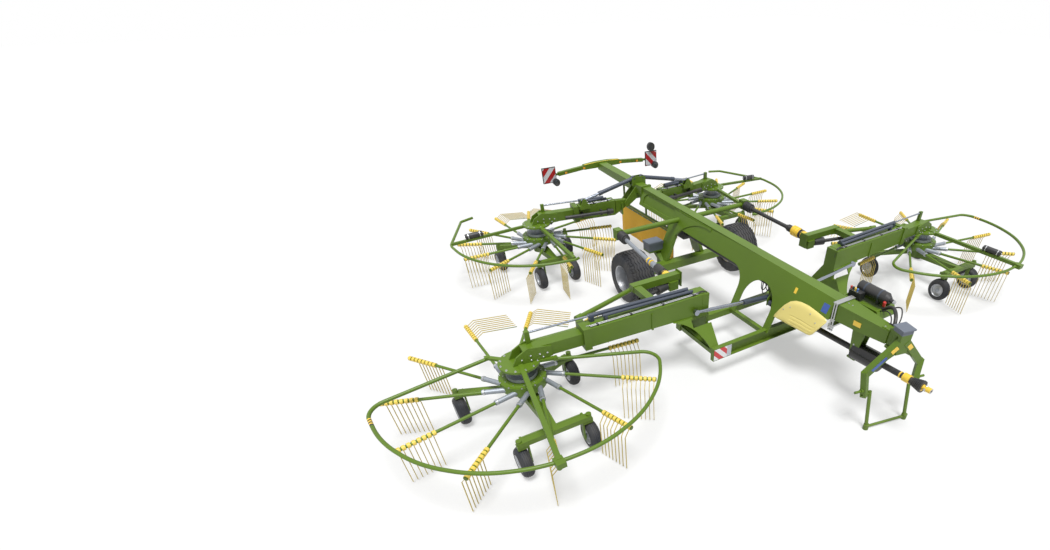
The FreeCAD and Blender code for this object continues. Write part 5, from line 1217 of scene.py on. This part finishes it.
def makeRoll(end, side, guard, s):
    # a black foam roll clamped on top of the guard's arm, its ends domed, between two plates
    start, stop = (rotorPoint(end, "right", *guard[key]) for key in ("from", "to"))
    along = unit(stop - start)
    across = unit(np.cross(along, (0, 0, 1)))
    middle = start + (stop - start) * s["share"] + np.array((0, 0, guard["half"] + s["above"]))
    half, radius, parts = s["half"], s["radius"], Parts()
    dome = bothEnds([(inset - half, radius - drop) for inset, drop in s["dome"]])
    parts.turned("blackPlastic", middle, along, dome, 40)
    rod = bothEnds([(-half - past, thick) for past, thick in s["rod"]])
    parts.turned("zincSteel", middle, along, rod, 16)
    band = bothEnds([(-a, radius + rise) for a, rise in s["band"]])
    axes = (along, -across, np.cross(along, -across))
    size = (*s["plate"], guard["half"] * 2 + s["plateMore"])
    for place in s["clamps"]:
        spot = middle + along * place
        parts.turned("zincSteel", spot, along, band, 40)
        parts.block("greenPaint", spot - np.array((0, 0, guard["half"] + s["plateDrop"])), size, axes,
                    s["chamfer"])
    makePiece("guard_roll_%s_%s" % (end, side), "rotor_frame_%s_%s" % (end, side), parts.sided(side))


for end, side in corners[1:]:
    makeRoll(end, side, guards[end], roll)

tape = {"radius": 1.86, "height": 0.826, "tube": 0.0245, "corners": (-97.0, -76.0), "shares": (0.33, 0.54),
        "bands": 6, "finishes": ("yellowPlastic", "blackPlastic")}


def makeTape(side, s):
    # bands of yellow and black tape round the straight piece of the front hoop, just past its outer bend
    radius, turns = s["radius"], np.radians(s["corners"])
    first, last = (rotorPoint("front", "right", radius * math.cos(t), radius * math.sin(t), s["height"])
                   for t in turns)
    shares = np.linspace(*s["shares"], s["bands"] + 1)
    parts = Parts()
    for index, (a, b) in enumerate(zip(shares, shares[1:])):
        path = first + (last - first) * np.linspace(a, b, 4)[:, None]
        parts.add(s["finishes"][index % 2], pipeForm(path, s["tube"], 20))
    makePiece("hoop_tape_" + side, "rotor_frame_front_" + side, parts.sided(side))


pipes = {"front": {"from": 0.96, "to": 2.7, "top": ((0.88, 1.198), (2.778, 1.244)), "x": (0.055, 0.08),
                   "clamps": (1.1, 1.6, 2.1, 2.6)},
         "rear": {"from": 0.86, "to": 1.58, "top": ((0.77, 1.18), (1.64, 1.215)), "x": (0.03, 0.055, 0.08),
                  "clamps": (0.92, 1.2, 1.5)}}
pipeMake = {"radius": 0.007, "above": 0.013, "shorter": (0.05, 0.04), "nutBack": 0.02,
            "nut": [(0, 0.008), (0.002, 0.0115), (0.036, 0.0115), (0.04, 0.008)],
            "saddle": (0.03, 0.03, 0.026), "saddleAbove": 0.011, "screwAbove": 0.025, "screw": 0.009}


def makePipes(end, side, s, make):
    # oil pipes along the top of the boom, held by saddles with a screw each, with a nut at both their ends
    point = lambda x, y, up: rotorPoint(end, "right", x, y, np.interp(y, *np.array(s["top"]).T) + up, True)
    along = unit(point(0, s["to"], 0) - point(0, s["from"], 0))
    across = unit(point(1, s["from"], 0) - point(0, s["from"], 0))
    up = np.cross(across, along)
    parts = Parts()
    for index, x in enumerate(s["x"]):
        ends = [s["from"] + make["shorter"][0] * index, s["to"] - make["shorter"][1] * index]
        path = [point(x, y, make["above"]) for y in np.linspace(*ends, 30)]
        parts.add("zincSteel", pipeForm(path, make["radius"]))
        for y in ends:
            spot = point(x, y, make["above"]) - along * make["nutBack"]
            parts.turned("zincSteel", spot, along, make["nut"], 6)
    middle, wide = sum(s["x"]) / len(s["x"]), s["x"][-1] - s["x"][0]
    more, long, tall = make["saddle"]
    for y in s["clamps"]:
        parts.block("blackPlastic", point(middle, y, make["saddleAbove"]), (wide + more, long, tall),
                    (across, along, up))
        parts.bolted(point(middle, y, make["screwAbove"]), up, make["screw"])
    makePiece("boom_pipes_%s_%s" % (end, side), "boom_%s_%s" % (end, side), parts.sided(side))


for side in ("right", "left"):
    makeTape(side, tape)
for end, side in corners:
    makePipes(end, side, pipes[end], pipeMake)
print("covers, plates, labels, rolls, tape and pipes done")

# places along the PTO line's axis; a cone's ribs are (along, radius) steps after its narrow end
ptoTrim = {"cone": 5.15, "coneStart": [(0, 0.045), (0.002, 0.052)],
           "coneEnd": [(0.16, 0.083), (0.164, 0.08), (0.16, 0.06)],
           "ribs": 6, "firstRib": (0.008, 0.053), "ribStep": 0.025, "ribRise": 0.0052,
           "rib": ((0, 0), (0.004, 0.005), (0.012, 0.006), (0.016, 0.001)),
           "edges": (4.206, 4.62), "edge": [(0, 0.125), (0.002, 0.1325), (0.018, 0.1335), (0.022, 0.131)],
           "clip": 4.96, "clipRing": [(0, 0.042), (0.002, 0.0455), (0.02, 0.0455), (0.022, 0.042)],
           "cross": 5.352, "crossOut": 0.03, "crossCap": [(0, 0.016), (0.012, 0.016), (0.015, 0.012)]}


def makePtoTrim(s, line):
    # the ribbed guard cone, the bell's rolled edges, the tube's clip ring and the caps of the yoke's cross
    spot = lambda x: at(x, 0, line["start"][1] + (x - line["start"][0]) * line["slope"])
    along = unit((1, 0, line["slope"]))
    parts, cone = Parts(), list(s["coneStart"])
    for index in range(s["ribs"]):
        a, r = s["firstRib"][0] + index * s["ribStep"], s["firstRib"][1] + index * s["ribRise"]
        cone += [(a + da, r + dr) for da, dr in s["rib"]]
    parts.turned("blackPlastic", spot(s["cone"]), along, cone + s["coneEnd"], 48)
    for x in s["edges"]:
        parts.turned("gloss", spot(x), along, s["edge"], 64)
    parts.turned("yellowPlastic", spot(s["clip"]), along, s["clipRing"], 40)
    a, b, _ = axesOf(along)
    for turn in anglesOf(4):
        out = math.cos(turn) * a + math.sin(turn) * b
        parts.turned("zincSteel", spot(s["cross"]) + out * s["crossOut"], out, s["crossCap"], 20)
    makePiece("pto_trim", "chassis", parts)


makePtoTrim(ptoTrim, ptoLine)

studio = {"floor": 60.0, "floorTone": 0.71, "sky": 0.3, "sun": 3.8, "sunAngle": 24.0,
          "sunFrom": (0.3, -0.1, 1.0), "keep": 0.45}
seenRays = ("Is Camera Ray", "Is Glossy Ray", "Is Transmission Ray")


def makeStudio(s):
    # a wide floor that takes the shadows; seen by the camera it is lifted part of the way to white
    half = s["floor"]
    mesh = bpy.data.meshes.new("floor")
    square = [(-half, -half, 0), (half, -half, 0), (half, half, 0), (-half, half, 0)]
    mesh.from_pydata(square, [], [(0, 1, 2, 3)])
    floor = bpy.data.objects.new("floor", mesh)
    bpy.context.collection.objects.link(floor)
    f = Finish("floorWhite")
    f.set(Base_Color=(s["floorTone"],) * 3 + (1,), Roughness=0.9)
    glow = f.add("ShaderNodeEmission", inputs={"Color": (1, 1, 1, 1), "Strength": 1.0})
    camera, glossy, through = (f.add("ShaderNodeLightPath", output=key) for key in seenRays)
    seen = camera.math("MAXIMUM", glossy).math("MAXIMUM", through)
    sockets = {0: seen * s["keep"], 1: Wire(f, f.shader.outputs[0]), 2: glow}
    mixed = f.add("ShaderNodeMixShader", inputs=sockets)
    f.plug(f.tree.nodes["Material Output"].inputs["Surface"], mixed)
    mesh.materials.append(f.material)
    lamp = bpy.data.lights.new("softSun", "SUN")
    lamp.energy, lamp.angle = s["sun"], math.radians(s["sunAngle"])
    sun = bpy.data.objects.new("softSun", lamp)
    rows = np.array(axesOf(s["sunFrom"])).T
    sun.matrix_world = Matrix([(*row, 0) for row in rows] + [(0, 0, 0, 1)])
    bpy.context.collection.objects.link(sun)


def makeWorld(s):
    # an even sky, which lights the object at its own strength and is plain white when seen, in metal too
    world = bpy.data.worlds.new("studio")
    bpy.context.scene.world = world
    world.use_nodes = True
    tree = world.node_tree
    tree.nodes.clear()
    kinds = ("ShaderNodeLightPath", "ShaderNodeOutputWorld", "ShaderNodeMixShader")
    ray, out, mix = (tree.nodes.new(kind) for kind in kinds)
    for socket, strength in ((1, s["sky"]), (2, 1.0)):
        shine = tree.nodes.new("ShaderNodeBackground")
        shine.inputs["Color"].default_value = (1, 1, 1, 1)
        shine.inputs["Strength"].default_value = strength
        tree.links.new(shine.outputs[0], mix.inputs[socket])
    seen = ray.outputs[seenRays[0]]
    for key in seenRays[1:]:
        most = tree.nodes.new("ShaderNodeMath")
        most.operation = "MAXIMUM"
        tree.links.new(seen, most.inputs[0])
        tree.links.new(ray.outputs[key], most.inputs[1])
        seen = most.outputs[0]
    tree.links.new(seen, mix.inputs[0])
    tree.links.new(mix.outputs[0], out.inputs[0])


makeStudio(studio)
makeWorld(studio)
print("studio lit")
